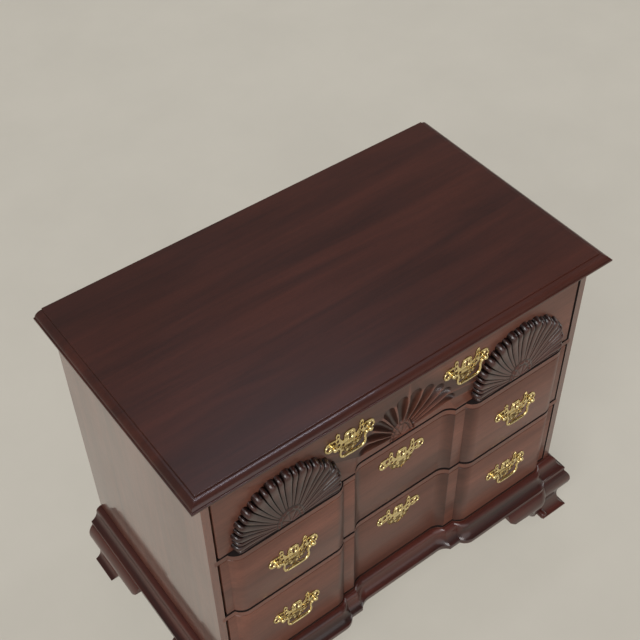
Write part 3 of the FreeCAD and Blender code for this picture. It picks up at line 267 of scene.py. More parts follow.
def cast_brass(name, bright, dull):
    """Polished brass with tarnish in patches. The crevice share, which only the plates' border carries, is
    painted shade that turns it dull.
    """
    graph = Finish(name)
    place = graph.add("ShaderNodeTexCoord").outputs["Object"]
    patches = streaks(graph, place, 160, 5)
    hammer = streaks(graph, place, 420, 3)
    # painted shade: the crevice share turns the plates' border towards the dull tone
    hollow = graph.add("ShaderNodeAttribute", attribute_name="crevice").outputs["Fac"]
    tone = graph.mix(graph.ramp(patches, [(0.52, 0.0), (0.80, 0.55)]), bright, dull)
    tone = graph.mix(hollow, tone, dull)
    relief = graph.add("ShaderNodeBump", {"Strength": 0.15, "Distance": 0.0003, "Height": hammer})
    return graph.finish({"Base Color": tone, "Metallic": 1.0, "Normal": relief.outputs[0],
                         "Roughness": graph.ramp(patches, [(0.35, 0.20), (0.75, 0.36)])})


PLAIN_SHARE = 0.6


def floor_paint(name, tone):
    """A matt painted floor with faint scuffs. The plain share of what is seen of it is its own
    tone, so that it stays even, and the rest of it keeps the shadows."""
    graph = Finish(name)
    scuffs = streaks(graph, graph.add("ShaderNodeTexCoord").outputs["Object"], 3, 6)
    shade = graph.mix(0.08, tone, graph.ramp(scuffs, [(0.35, 0.55), (0.62, 1.0)]), "MULTIPLY")
    lit = graph.add("ShaderNodeBsdfDiffuse", {"Color": shade})
    plain = graph.add("ShaderNodeEmission", {"Color": shade})
    rays = graph.add("ShaderNodeLightPath").outputs
    seen = rays["Is Camera Ray"]
    for label in ("Is Glossy Ray", "Is Transmission Ray"):
        seen = graph.add("ShaderNodeMath", {0: seen, 1: rays[label]}, operation="MAXIMUM").outputs[0]
    share = graph.add("ShaderNodeMath", {0: seen, 1: PLAIN_SHARE}, operation="MULTIPLY")
    both = graph.add("ShaderNodeMixShader", {0: share.outputs[0], 1: lit.outputs[0], 2: plain.outputs[0]})
    graph.add("ShaderNodeOutputMaterial", {"Surface": both.outputs[0]})
    return graph.material


# the last column is the way a face must turn to be painted nearly black as painted shade: up for the rails,
# inwards for the sides
POLISHED = (
    ("wood_x", ALONG_X, "wood", FRONT_GLOSS, None),
    ("trim_x", ALONG_X, "trim", TRIM_GLOSS, None),
    ("trim_y", ALONG_Y, "trim", TRIM_GLOSS, None),
    ("top_wood", ALONG_X, "top", TOP_GLOSS, None),
    ("carved_wood", ALONG_X, "carved", TRIM_GLOSS, None),
    ("rail_wood", ALONG_X, "wood", FRONT_GLOSS, (0, 0, 1)),
    ("left_wood", ALONG_Z, "wood", SIDE_GLOSS, (1, 0, 0)),
    ("right_wood", ALONG_Z, "wood", SIDE_GLOSS, (-1, 0, 0)),
)


def tone_pair(kind):
    """The dark and the light colour of a kind of wood."""
    tones = bpy.context.scene.chest_colours
    return tuple(getattr(tones, kind + "_dark")), tuple(getattr(tones, kind + "_light"))


def finishes():
    """Every finish of the chest, made once from the colours."""
    if "top_wood" not in bpy.data.materials:
        for name, along, kind, gloss, shaded in POLISHED:
            polished_wood(name, along, *tone_pair(kind), gloss, shaded)
        for letter, along in (("x", ALONG_X), ("y", ALONG_Y), ("z", ALONG_Z)):
            raw_wood("inner_" + letter, along, *tone_pair("inner"))
        tones = bpy.context.scene.chest_colours
        cast_brass("brass", tuple(tones.brass_bright), tuple(tones.brass_dull))
    return bpy.data.materials


# ---------------------------------------------------------------------------------------------
# Mesh helpers
# ---------------------------------------------------------------------------------------------
def finish_mesh(mesh, crease):
    """Merges doubles, turns faces outwards and keeps edges sharper than the crease angle."""
    work = bmesh.new()
    work.from_mesh(mesh)
    bmesh.ops.remove_doubles(work, verts=work.verts, dist=2e-6)
    bmesh.ops.dissolve_degenerate(work, dist=1e-6, edges=work.edges)
    bmesh.ops.recalc_face_normals(work, faces=work.faces)
    for face in work.faces:
        face.smooth = True
    for edge in work.edges:
        edge.smooth = len(edge.link_faces) == 2 and edge.calc_face_angle(0) < math.radians(crease)
    work.to_mesh(mesh)
    work.free()
    mesh.update()


def new_piece(name, shape, finish, body, crease, node=None):
    """A finished piece from (points, faces) in metres and, where the shape has it, a share of
    crevice darkness for each point, which the finishes paint in as shade. It takes the place of
    the CAD node that is named."""
    mesh = bpy.data.meshes.new(name)
    mesh.from_pydata([tuple(map(float, point)) for point in shape[0]], [], shape[1])
    if len(shape) > 2:
        layer = mesh.attributes.new("crevice", "FLOAT", "POINT")
        layer.data.foreach_set("value", np.asarray(shape[2], np.float32))
    finish_mesh(mesh, crease)
    mesh.materials.append(finishes()[finish])
    piece = bpy.data.objects.new(name, mesh)
    bpy.context.scene.collection.objects.link(piece)
    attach(piece, body)
    if node:
        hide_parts(node)


def new_pair(name, shape, finish, body, crease, node=None):
    """A piece on the right and its mirror image on the left."""
    for side, sign in (("right", 1), ("left", -1)):
        points = [(sign * x, y, z) for x, y, z in shape[0]]
        new_piece(name + side, (points, *shape[1:]), finish, body, crease, node and node + side)


def loft(rings):
    """Points and faces of a closed solid through rings that have the same number of points."""
    size = len(rings[0])
    points = [point for ring in rings for point in ring]
    faces = [tuple(range(size)), tuple(range(len(points) - 1, len(points) - size - 1, -1))]
    for row in range(len(rings) - 1):
        for spot in range(size):
            after = (spot + 1) % size
            low, high = row * size, (row + 1) * size
            faces.append((low + spot, low + after, high + after, high + spot))
    return points, faces


def join_shapes(shapes):
    """Several (points, faces, crevice) as one."""
    points, faces, crevice = [], [], []
    for shape in shapes:
        start = len(points)
        points += list(shape[0])
        faces += [tuple(start + spot for spot in face) for face in shape[1]]
        crevice += list(shape[2]) if len(shape) > 2 else [0.0] * len(shape[0])
    return points, faces, crevice


def arc(start, stop, radius, bulge, pieces=10):
    """Points from start to stop on an arc; bulge 1 swells to the left of the run, -1 to the right."""
    start, stop = np.array(start, float), np.array(stop, float)
    chord = stop - start
    half = np.linalg.norm(chord) / 2
    left = np.array((-chord[1], chord[0])) / (2 * half)
    centre = (start + stop) / 2 - left * bulge * math.sqrt(max(radius * radius - half * half, 0))
    sweep = 2 * math.asin(min(half / radius, 1))
    spots = []
    for index in range(pieces + 1):
        turn = -bulge * sweep * index / pieces
        across, up = start - centre
        spots.append((centre[0] + across * math.cos(turn) - up * math.sin(turn),
                      centre[1] + across * math.sin(turn) + up * math.cos(turn)))
    return spots


def table(spots, place):
    """The value at a place, from a table of (place, value) spots."""
    return float(np.interp(place, [spot for spot, _ in spots], [value for _, value in spots]))


# ---------------------------------------------------------------------------------------------
# The blocked plan line
# ---------------------------------------------------------------------------------------------
def corner_run(sizes, depth):
    return math.sqrt(2 * sizes.corner_radius * depth - depth * depth)


def stands_out(sizes, across):
    """How far the blocked front stands in front of its flat plane, at a distance from the middle."""
    across = abs(across)
    radius = sizes.corner_radius

    def rounded(distance, depth):
        return depth - radius + math.sqrt(max(radius * radius - distance * distance, 0))

    if across < sizes.recess_half:
        start = sizes.recess_half - corner_run(sizes, sizes.recess_depth)
        return -rounded(max(across - start, 0), sizes.recess_depth)
    if across <= sizes.block_inner or across >= sizes.block_outer:
        return 0.0
    run = corner_run(sizes, sizes.block_projection)
    near = max(sizes.block_inner + run - across, 0)
    far = max(across - (sizes.block_outer - run), 0)
    return rounded(max(near, far), sizes.block_projection)


def plan_stations(sizes, low, high, pieces=12):
    """Distances from the middle where the plan line needs a point, between two limits."""
    recess = sizes.recess_half - corner_run(sizes, sizes.recess_depth)
    run = corner_run(sizes, sizes.block_projection)
    spans = [(recess, sizes.recess_half), (sizes.block_inner, sizes.block_inner + run),
             (sizes.block_outer - run, sizes.block_outer)]
    right = []
    for start, stop in spans:
        right += [start + (stop - start) * index / pieces for index in range(pieces + 1)]
    both = [-spot for spot in reversed(right)] + right
    return [low] + [spot for spot in both if low < spot < high] + [high]


# ---------------------------------------------------------------------------------------------
# The top, the moulding and the feet
# ---------------------------------------------------------------------------------------------
def top_edge():
    """The moulded edge of the top, as (set in, height) from the underside."""
    base = CASE_TOP
    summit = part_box("top")[1].z
    cove = arc((5 * MM, base), (0, base + 5 * MM), 6 * MM, -1, 10)
    lip = arc((0, base + 7.2 * MM), (1.6 * MM, base + 8.8 * MM), 1.6 * MM, 1, 12)
    thumb = arc((3 * MM, base + 10.2 * MM), (18.65 * MM, summit - 3.0 * MM), 16 * MM, 1, 14)
    rim = arc((18.65 * MM, summit - 1.3 * MM), (19.95 * MM, summit), 1.3 * MM, 1, 12)
    return cove + lip + [(3 * MM, base + 8.8 * MM)] + thumb + rim


def base_section():
    """The base moulding's outer face from its underside up, as (out, height)."""
    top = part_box("base_moulding_front")[1].z
    bevel = arc((28.8 * MM, FOOT_TOP), (30 * MM, FOOT_TOP + 1.2 * MM), 1.2 * MM, -1, 4)
    arris = arc((30 * MM, FOOT_TOP + 10.5 * MM), (28.8 * MM, FOOT_TOP + 12 * MM), 1.4 * MM, -1, 4)
    cove = arc((28.8 * MM, FOOT_TOP + 12 * MM), (13 * MM, top - 10 * MM), 27 * MM, 1, 9)
    bead = arc((13 * MM, top - 10 * MM), (2.5 * MM, top), 14 * MM, -1, 6)
    return [(0, FOOT_TOP)] + bevel + arris + cove[1:] + bead[1:] + [(0, top)]


def ogee():
    """The outer face of a bracket foot from the floor up, as (out, height)."""
    waist, bulge = (28 * MM, 29.5 * MM), (35.5 * MM, 78 * MM)
    face = [(TOE_OUT, 0)] + arc((TOE_OUT, 3 * MM), (30 * MM, 17 * MM), 24 * MM, 1, 7)
    face += arc(waist, bulge, 62 * MM, 1, 9)
    return face + arc(bulge, (29.5 * MM, FOOT_TOP), 42 * MM, -1, 12)[1:]


def ogee_out(height):
    return table([(up, out) for out, up in ogee()], height)


def bracket_reach(height):
    """How far the wood of a bracket reaches from the foot's corner at a height."""
    spots = [(26, 0)] + arc((39, 28), (84, 94), 60, -1, 10) + [(139, 98), (155, 114), (155, 130.1)]
    return table([(up * MM, reach * MM) for reach, up in spots], height)


def foot_rows():
    """Heights at which a bracket is cut into rings: the ogee's own and the bracket's corners."""
    rows = {round(up, 6) for _, up in ogee()}
    rows |= {round(up * MM, 6) for up in (28, 60, 80, 90, 94, 95, 98, 101, 104, 108, 111, 114, 118)}
    return sorted(rows)


def front_bracket(sizes):
    """The right front bracket, blocked like the case above it, mitred at the corner."""
    stations = plan_stations(sizes, HALF - BRACKET_LENGTH, HALF - LAP, 14)
    rings = []
    for height in foot_rows():
        out = ogee_out(height)
        inner = HALF - bracket_reach(height)
        across = [max(spot, inner) for spot in stations]
        outer = [(x, FRONT - stands_out(sizes, x) - out, height) for x in across]
        outer[-1] = (HALF + out, FRONT - out, height)
        rear = [(x, FRONT - stands_out(sizes, x) + LAP, height) for x in reversed(across)]
        rings.append(outer + rear)
    return loft(rings)


def side_bracket(rear):
    """A right side bracket: mitred at the front corner, or square at the back of the case."""
    rings = []
    for height in foot_rows():
        out = ogee_out(height)
        reach = bracket_reach(height)
        if rear:
            ends = (BACK, BACK)
            inner = BACK - TOE_OUT - reach
        else:
            ends = (FRONT - out, FRONT + LAP)
            inner = FRONT + reach
        rings.append([(HALF + out, ends[0], height), (HALF - LAP, ends[1], height),
                      (HALF - LAP, inner, height), (HALF + out, inner, height)])
    return loft(rings)


def toe_scroll():
    """The small scroll carved on the inner end of the right front foot's toe: a disc with a spiral
    groove, in rings from its middle outwards and then back into the foot."""
    middle, level, front = HALF - 25 * MM, 12.5 * MM, FRONT - TOE_OUT + 0.4 * MM
    radius, pitch, relief = 9 * MM, 3.1 * MM, 1.8 * MM
    rows, parts = 22, 44

    def ring(reach, depth, groove=0.0):
        spots = []
        for part in range(parts):
            turn = 2 * math.pi * part / parts
            sunk = depth + groove * (0.5 - 0.5 * math.cos(2 * math.pi * reach / pitch - turn))
            spots.append((middle + reach * math.cos(turn), front + sunk, level + reach * math.sin(turn)))
        return spots

    rings = [ring(0.3 * MM + (radius - 1 * MM) * row / (rows - 1), 0, relief) for row in range(rows)]
    rings += [ring(radius - 0.3 * MM, 0.6 * MM), ring(radius, 1.6 * MM), ring(radius, 26 * MM)]
    return loft(rings)


def base_front(sizes):
    rings = []
    section = base_section()
    for across in plan_stations(sizes, -HALF, HALF):
        end = 0 if abs(across) < HALF else math.copysign(1, across)
        rings.append([(across + end * out, FRONT - stands_out(sizes, across) - out, up)
                      for out, up in section])
    return loft(rings)


def base_side():
    section = base_section()
    near = [(HALF + out, FRONT - out, up) for out, up in section]
    far = [(HALF + out, BACK, up) for out, up in section]
    return loft([near, far])


class CHEST_OT_top(bpy.types.Operator):
    """Build the moulded top board"""
    bl_idname = "chest.top"
    bl_label = "Top board"

    def execute(self, context):
        low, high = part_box("top")
        rings = []
        for set_in, height in top_edge():
            left, right, front = low.x + set_in, high.x - set_in, low.y + set_in
            rings.append([(left, high.y, height), (left, front, height), (right, front, height),
                          (right, high.y, height)])
        new_piece("top_board", loft(rings), "top_wood", "carcass", 9, "top")
        return {"FINISHED"}


class CHEST_OT_base(bpy.types.Operator):
    """Build the base moulding on the front and both sides"""
    bl_idname = "chest.base"
    bl_label = "Base moulding"

    def execute(self, context):
        new_piece("base_front", base_front(context.scene.chest_sizes), "trim_x", "carcass", 28,
                  "base_moulding_front")
        new_pair("base_", base_side(), "trim_y", "carcass", 28, "base_moulding_")
        return {"FINISHED"}


class CHEST_OT_feet(bpy.types.Operator):
    """Build the ogee bracket feet"""
    bl_idname = "chest.feet"
    bl_label = "Bracket feet"

    def execute(self, context):
        brackets = (
            ("front_", front_bracket(context.scene.chest_sizes), "trim_x"),
            ("side_", side_bracket(False), "trim_y"),
            ("rear_", side_bracket(True), "trim_y"),
        )
        for place, shape, finish in brackets:
            new_pair("ogee_bracket_" + place, shape, finish, "carcass", 28,
                     "foot_bracket_" + place)
        new_pair("toe_scroll_", toe_scroll(), "trim_x", "carcass", 40)
        return {"FINISHED"}


# ---------------------------------------------------------------------------------------------
# The drawer fronts and their shells
# ---------------------------------------------------------------------------------------------
def front_board(sizes, low, high):
    """A drawer front with softened edges, planed to leave a seam all round."""
    low, high = low + sizes.low_seam, high - sizes.top_seam
    end = DRAWER_HALF - sizes.end_seam
    clear = 2.5 * MM
    extra = [sign * spot for sign in (-1, 1)
             for spot in (sizes.recess_half + clear, sizes.block_inner - clear)]
    across = sorted(plan_stations(sizes, -end, end) + extra)
    edge = sizes.arris
    rings, crevice = [], []
    for height, set_in in ((low, edge), (low + edge * 0.3, edge * 0.3), (low + edge, 0),
                           (high - edge, 0), (high - edge * 0.3, edge * 0.3), (high, edge)):
        ring = []
        for x in across:
            out = stands_out(sizes, x)
            x = max(min(x, end - set_in), set_in - end)
            ring.append((x, FRONT - out + set_in, height))
        ring += [(end, FRONT_REAR, height), (-end, FRONT_REAR, height)]
        rings.append(ring)
        # painted shade: each point's crevice share darkens the inner corners of the blocked plan line
        crevice += [corner_shade(sizes, abs(x)) for x in across] + [0.0, 0.0]
    return (*loft(rings), crevice)


def corner_shade(sizes, across):
    """Painted shade in the inner corners of the blocked plan line, as a share of darkness at a distance from
    the middle.
    """
    recess, block, fade = sizes.recess_half, sizes.block_inner, 2 * MM
    cove = corner_run(sizes, sizes.recess_depth)
    run = corner_run(sizes, sizes.block_projection)
    return table(((recess - 1.3 * cove, 0.0), (recess - 0.4 * cove, 0.55), (recess, 0.60),
                  (recess + fade, 0.0), (block - fade, 0.0), (block, 0.60),
                  (block + 0.35 * run, 0.55), (block + run, 0.0)), across)


CURL = 0.20  # the most that a ray turns away from its straight run, in radians
LEVEL_SPAN = 0.26  # sine of the turn below which a hollow ray flattens towards the base line


def rounded_side(share):
    """Height of a half-round, one at its middle (0) and nothing at its sides (-1 and 1)."""
    return math.sqrt(max(1 - share * share, 0))


def rim_reach(radius, lift, turn):
    """How far a round rim lies from the hub in one direction, with its centre above the hub."""
    return lift * math.sin(turn) + math.sqrt(radius ** 2 - (lift * math.cos(turn)) ** 2)


def curled(turn, along):
    """The direction of a ray that leaves the hub low and curls up towards its tip."""
    return turn - math.sin(2 * turn) * CURL * max(1 - along, 0) ** 1.2


def drooping(turn, along):
    """The direction of a ray that leaves the hub high and droops towards its tip."""
    lift = CURL * min(math.sin(turn) / LEVEL_SPAN, 1) * math.cos(turn) ** 3
    return turn + lift * (1 - min(along, 1) ** 6)


def rosette_reach(sizes, turn):
    """How far the arched rosette reaches from the hub in one direction."""
    return 1 / math.hypot(math.cos(turn) / sizes.rosette_half, math.sin(turn) / sizes.rosette_height)


LOBE_SHARE = 0.60
CREST = ((0, 0.82), (0.12, 0.82), (0.30, 0.82), (0.50, 0.84), (0.66, 0.89), (0.76, 0.95), (0.83, 0.99),
         (0.87, 1.0), (0.91, 0.97), (0.945, 0.86), (0.97, 0.66), (0.99, 0.36), (1.0, 0.0))


def lobe_place(share):
    """Whether a share across a ray is on the slim ridge, and its place across that ridge or lobe."""
    if abs(share) > LOBE_SHARE:
        return True, (1 - abs(share)) / (1 - LOBE_SHARE)
    return False, share / LOBE_SHARE


def lobe_form(along, share):
    """Height share and darkness on a raised shell, at a place along a ray and across its share:
    broad lobes with a slim ridge between neighbours. The darkness is painted shade, deep in the
    valleys, growing towards the tips and darkest where the lobes roll over at the rim."""
    crest = table(CREST, along)
    slim, place = lobe_place(share)
    top = crest * (0.96 if slim else 1.0)
    valley = crest * (0.78 - 0.30 * along)
    side = rounded_side(place)
    height = valley + (top - valley) * side ** (0.12 + 0.50 * along)
    # painted shade in the valleys between lobes, towards the tips and over the rim
    dark = (0.95 * (1 - side) ** (1.1 - 0.2 * along)
            + 0.12 + 0.22 * along + 0.4 * max(0.0, (along - 0.93) / 0.07))
    return height, min(dark, 1.0)


GLUE_SINK = 0.6 * MM  # how far a raised shell's back lies inside the board
FLUSH_GAP = 0.4 * MM  # how far a raised shell's foot stays behind the blocks below it
FLUSH_SLOPE = 0.9  # how much prouder it may stand for each metre above its hub


def grid_faces(rows, columns):
    """Faces of a grid whose points lie row by row."""
    width = columns + 1
    return [(near, near + 1, near + width + 1, near + width)
            for row in range(rows) for near in range(row * width, row * width + columns)]


def raised_shell(sizes, middle, level):
    """A raised shell as one closed shape: rows run out from the rosette, columns round the fan. Its
    foot is cut back flush with the blocks below it."""
    rows, hub_rows, per_ray = 50, 22, 30
    columns = sizes.shell_rays * per_ray
    points, crevice = [], []
    for row in range(hub_rows + rows + 1):
        for column in range(columns + 1):
            turn = math.pi * column / columns
            share = 2 * ((column % per_ray) / per_ray) - 1
            slim, place = lobe_place(share)
            rim = rim_reach(sizes.shell_radius, sizes.shell_rim_lift, turn)
            hub = rosette_reach(sizes, turn)
            edge = rim - (6 if slim else 9) * MM * (1 - rounded_side(place)) - (3.2 * MM if slim else 0)
            if row <= hub_rows:
                reach = hub * row / hub_rows
                height, dark = rosette_form(reach / hub, turn)
                turned = turn + (curled(turn, hub / rim) - turn) * (reach / hub) ** 2
            else:
                along = (row - hub_rows) / rows
                reach = hub + (edge - hub) * along
                height, dark = lobe_form(along, share)
                turned = curled(turn, reach / rim)
            above = reach * math.sin(turned)
            flush = sizes.block_projection - FLUSH_GAP + FLUSH_SLOPE * above
            proud = min(sizes.shell_rise * height, flush)
            points.append((middle + reach * math.cos(turned), FRONT - proud, level + above))
            crevice.append(dark)
    return close_fan(points, crevice, hub_rows + rows, columns, FRONT + GLUE_SINK)


ROSETTE_BASE = 0.80  # height share of a rosette's plain ground
RING_SHARE, GAP_SHARE = 0.87, 0.72  # where its ruffled ring and the groove inside it run
SCROLL_TURN, SCROLL_SHARE = 0.16, 0.83  # where the two scrolls lie that end the ring


def swell(place, middle, width):
    """A smooth bump of height one round its middle."""
    return math.exp(-((place - middle) / width) ** 2)


def rosette_form(share, turn):
    """Height share and darkness on a rosette: a ruffled ring that ends in two small scrolls, round
    a fan of gouges. The darkness is painted shade in the groove inside the ring, between the
    ruffles and the gouges, in the scrolls' eyes and at the rosette's edge."""
    ruffle = abs(math.cos(turn * 10))
    gouge = abs(math.cos(turn * 5.5))
    ring = swell(share, RING_SHARE, 0.085)
    gap = swell(share, GAP_SHARE, 0.040)
    inner = min(max((0.70 - share) / 0.06, 0), 1) * min(share / 0.15, 1)
    swept = min(turn, math.pi - turn)
    scroll = swell(swept, SCROLL_TURN, 0.13) * swell(share, SCROLL_SHARE, 0.12)
    eye = swell(swept, SCROLL_TURN, 0.05) * swell(share, SCROLL_SHARE, 0.05)
    height = ROSETTE_BASE + (0.10 + 0.09 * ruffle) * ring + (0.02 + 0.09 * gouge ** 0.7) * inner
    height += 0.09 * scroll - 0.14 * eye
    # painted shade in the grooves, between ruffles and gouges, in the eyes and at the edge
    dark = 0.95 * gap + 0.85 * (1 - ruffle) ** 2 * ring + 0.75 * (1 - gouge) ** 3 * inner + 0.9 * eye
    dark += 0.9 * swell(share, 1.0, 0.035)
    return height, min(dark, 1.0)


def close_fan(points, crevice, rows, columns, back):
    """Faces of a fan grid, closed by a wall down to the back plane and by the back itself. The points on the
    back plane carry a painted shade share of 0.6, which darkens the wall towards its foot.
    """
    width = columns + 1
    faces = grid_faces(rows, columns)
    rim = [rows * width + column for column in range(width)]
    rim += [row * width + columns for row in range(rows - 1, 0, -1)]
    rim += [row * width for row in range(rows)]
    start, size = len(points), len(rim)
    points = points + [(points[spot][0], back, points[spot][2]) for spot in rim]
    # painted shade: the wall darkens towards its foot at the back plane
    crevice = crevice + [0.6] * size
    for index in range(size):
        after = (index + 1) % size
        faces.append((rim[index], rim[after], start + after, start + index))
    faces.append(tuple(range(start, start + size)))
    return points, faces, crevice


FLUTE_SHARE = 0.80
FLUTE = ((0, 1.12), (0.2, 1.15), (0.5, 1.08), (0.78, 0.90), (0.90, 0.68), (0.96, 0.42), (1.0, 0.0))
RIB = ((0, 0.80), (0.2, 0.55), (0.45, 0.26), (0.70, 0.06), (0.80, 0.0), (1.0, 0.0))


def flute_form(along, share, depth):
    """Depth and darkness on a hollow shell, at a place along a ray and across its share. The darkness is
    painted shade on the ribs' flanks and in the flutes, deepest at their tips, together with a darker stain
    in the carved hollows.
    """
    deep = depth * table(FLUTE, along)
    rib = min(depth * table(RIB, along), deep)
    if abs(share) >= FLUTE_SHARE:
        crown = rounded_side((1 - abs(share)) / (1 - FLUTE_SHARE))
        return min(rib + 0.8 * MM * (1 - crown), deep) if along < 1 else 0.0, 0.15 * (1 - crown)
    scoop = rounded_side(share / FLUTE_SHARE)
    # painted shade with a darker stain: the whole flute, most at its tip
    dark = 0.70 - 0.20 * (1 - scoop) + 0.30 * max(0.0, (along - 0.78) / 0.22) * (along < 1)
    return rib + (deep - rib) * scoop ** 0.7, min(dark, 1.0)


def ground_form(sizes, along, climb, x):
    """Depth and darkness on the plain ground between the lowest flute and the drawer's edge."""
    rib = sizes.hollow_depth * table(RIB, along)
    sunk = max(-stands_out(sizes, x), 0.0)
    blend = climb ** 7
    return rib * blend + sunk * (1 - blend), 0.0


SCALLOP = 11 * MM  # how far the rim steps in between two flutes
HUB_SINK, HUB_RELIEF = 4 * MM, 20 * MM  # depth of the hollow rosette's ground, and its carving


def hollow_fan(sizes, level, rows, hub_rows):
    """Points and darkness of the hollow shell, and the columns of its grid. Rows run out from the
    rosette and columns round the fan, whose first and last rays are plain ground."""
    per_ray = 26
    last = sizes.hollow_rays + 1
    columns = (last + 1) * per_ray
    points, crevice = [], []
    for row in range(hub_rows + rows + 1):
        for column in range(columns + 1):
            turn = math.pi * column / columns
            step = (column % per_ray) / per_ray
            share = 2 * step - 1
            ray = min(column // per_ray, last)
            rim = rim_reach(sizes.hollow_radius, sizes.hollow_rim_lift, turn)
            hub = rosette_reach(sizes, turn)
            edge = rim - SCALLOP * (1 - rounded_side(min(abs(share) / FLUTE_SHARE, 1)))
            ground = ray in (0, last)
            if ground:
                climb = step if ray == 0 else 1 - step
                climb = 0.0 if column == columns else climb
                edge = (sizes.recess_half + 0.4 * MM) * (1 - climb) + (rim - SCALLOP) * climb
            if row <= hub_rows:
                reach = hub * row / hub_rows
                height, dark = rosette_form(reach / hub, turn)
                depth = sizes.recess_depth + HUB_SINK - HUB_RELIEF * (height - ROSETTE_BASE)
                turned = turn + (drooping(turn, hub / rim) - turn) * (reach / hub) ** 2
            else:
                along = (row - hub_rows) / rows
                reach = hub + (edge - hub) * along
                turned = drooping(turn, reach / rim)
                if ground:
                    depth, dark = ground_form(sizes, along, climb, reach * math.cos(turned))
                else:
                    depth, dark = flute_form(along, share, sizes.hollow_depth)
            points.append((reach * math.cos(turned), FRONT + depth, level + reach * math.sin(turned)))
            crevice.append(dark)
    return points, crevice, columns


def shell_board(sizes, low, high, level):
    """The top drawer's front: a flat board with a hollow shell, whose lower edge follows the sunk
    middle of the plan line."""
    rows, hub_rows = 40, 20
    points, crevice, columns = hollow_fan(sizes, level, rows, hub_rows)
    width, total = columns + 1, hub_rows + rows
    faces = grid_faces(total, columns)
    low, high = low + sizes.low_seam, high - sizes.top_seam
    end = DRAWER_HALF - sizes.end_seam
    edge = sizes.arris

    def add(x, y, z):
        points.append((x, y, z))
        crevice.append(0.0)
        return len(points) - 1

    def corners(y):
        return [add(x, y, z) for x, z in ((-end, low), (end, low), (end, high), (-end, high))]

    stations = plan_stations(sizes, -sizes.recess_half, sizes.recess_half)
    floor_low = [add(x, FRONT - stands_out(sizes, x), low) for x in stations]
    floor_high = [add(x, FRONT - stands_out(sizes, x), level - 0.4 * MM) for x in stations]
    for index in range(len(stations) - 1):
        faces.append((floor_low[index], floor_low[index + 1], floor_high[index + 1], floor_high[index]))
    base_line = [row * width + columns for row in range(total, 0, -1)]
    base_line += [row * width for row in range(total + 1)]
    faces.append(tuple(floor_high + base_line[::-1]))
    face_low = [add(-end + edge, FRONT, low), add(end - edge, FRONT, low)]
    face_high = [add(end - edge, FRONT, high - edge), add(-end + edge, FRONT, high - edge)]
    crown = add(0, FRONT, high - edge)
    rim = [total * width + column for column in range(width)]
    half = len(rim) // 2
    right = [floor_low[-1], face_low[1], face_high[0], crown, rim[half]] + rim[:half][::-1]
    left = [face_low[0], floor_low[0], floor_high[0]] + rim[half:][::-1] + [crown, face_high[1]]
    rear, outer = corners(FRONT_REAR), corners(FRONT + edge)
    faces += [
        (*right, floor_high[-1]), tuple(left),
        (face_high[1], crown, face_high[0], outer[2], outer[3]),
        (face_low[1], outer[1], outer[2], face_high[0]),
        (face_low[0], face_high[1], outer[3], outer[0]),
        (outer[1], rear[1], rear[2], outer[2]),
        (outer[0], outer[3], rear[3], rear[0]),
        (outer[3], outer[2], rear[2], rear[3]), tuple(rear),
        (outer[0], face_low[0], *floor_low, face_low[1], outer[1], rear[1], rear[0]),
    ]
    return points, faces, crevice


class CHEST_OT_fronts(bpy.types.Operator):
    """Build the two blocked drawer fronts"""
    bl_idname = "chest.fronts"
    bl_label = "Blocked fronts"

    def execute(self, context):
        sizes = context.scene.chest_sizes
        for number in (2, 3):
            node = "drawer_%d_front" % number
            low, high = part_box(node)
            new_piece("blocked_front_%d" % number, front_board(sizes, low.z, high.z), "wood_x",
                      "drawer_%d" % number, 28, node)
        return {"FINISHED"}


class CHEST_OT_shells(bpy.types.Operator):
    """Carve the shells of the top drawer"""
    bl_idname = "chest.shells"
    bl_label = "Carved shells"

    def execute(self, context):
        sizes = context.scene.chest_sizes
        low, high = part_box("drawer_1_front")
        level = low.z + sizes.shell_level
        board = shell_board(sizes, low.z, high.z, level)
        new_piece("shell_front", board, "wood_x", "drawer_1", 30, "drawer_1_front")
        middle = (sizes.block_inner + sizes.block_outer) / 2
        new_pair("raised_shell_", raised_shell(sizes, middle, level), "carved_wood", "drawer_1",
                 40, "drawer_1_shell_")
        return {"FINISHED"}


# ---------------------------------------------------------------------------------------------
# The brasses
# ---------------------------------------------------------------------------------------------
PLATE_HALF = (
    (0, 18, 0), (7, 16.5, 0), (11.8, 11.5, 0), (12.3, 5.5, 0), (13.5, -1.5, 1), (18, 4, 0),
    (21, 13, 0), (20.5, 20, 0), (27, 27, 1), (30.5, 20, 0), (29.5, 12, 1), (36, 13.5, 0),
    (44, 13, 0), (51, 8.5, 0), (54, 0, 0), (52, -9, 0), (46, -14.5, 0), (39, -15, 0),
    (33, -10.5, 0), (30, -14, 1), (27, -20, 0), (25, -26, 1), (21.5, -27.5, 1), (21, -33, 1),
    (14, -33.5, 0), (10, -36.5, 1), (5.5, -39, 0), (0, -43, 1),
)
PLATE_HOLES = (
    (23.5, -8, 2.4, 3.4), (14, -13.5, 2.0, 3.4), (25.5, 4, 1.7, 3.6), (25.5, 16, 1.4, 3.2),
    (46.5, -2, 3.2, 4.6), (34.6, 2.5, 3.4, 5.2), (35.5, -9.5, 2.6, 1.8), (8.5, -22.5, 2.2, 3.0),
    (16.5, -25, 1.6, 3.0), (7.5, 3.5, 1.5, 3.4), (6, -32, 1.5, 2.2),
)
KEYHOLE = ((0, 8, 0), (-2.6, 4.6, 0), (-1.2, 1.8, 1), (-1.9, -7, 1), (1.9, -7, 1), (1.2, 1.8, 1),
           (2.6, 4.6, 0))


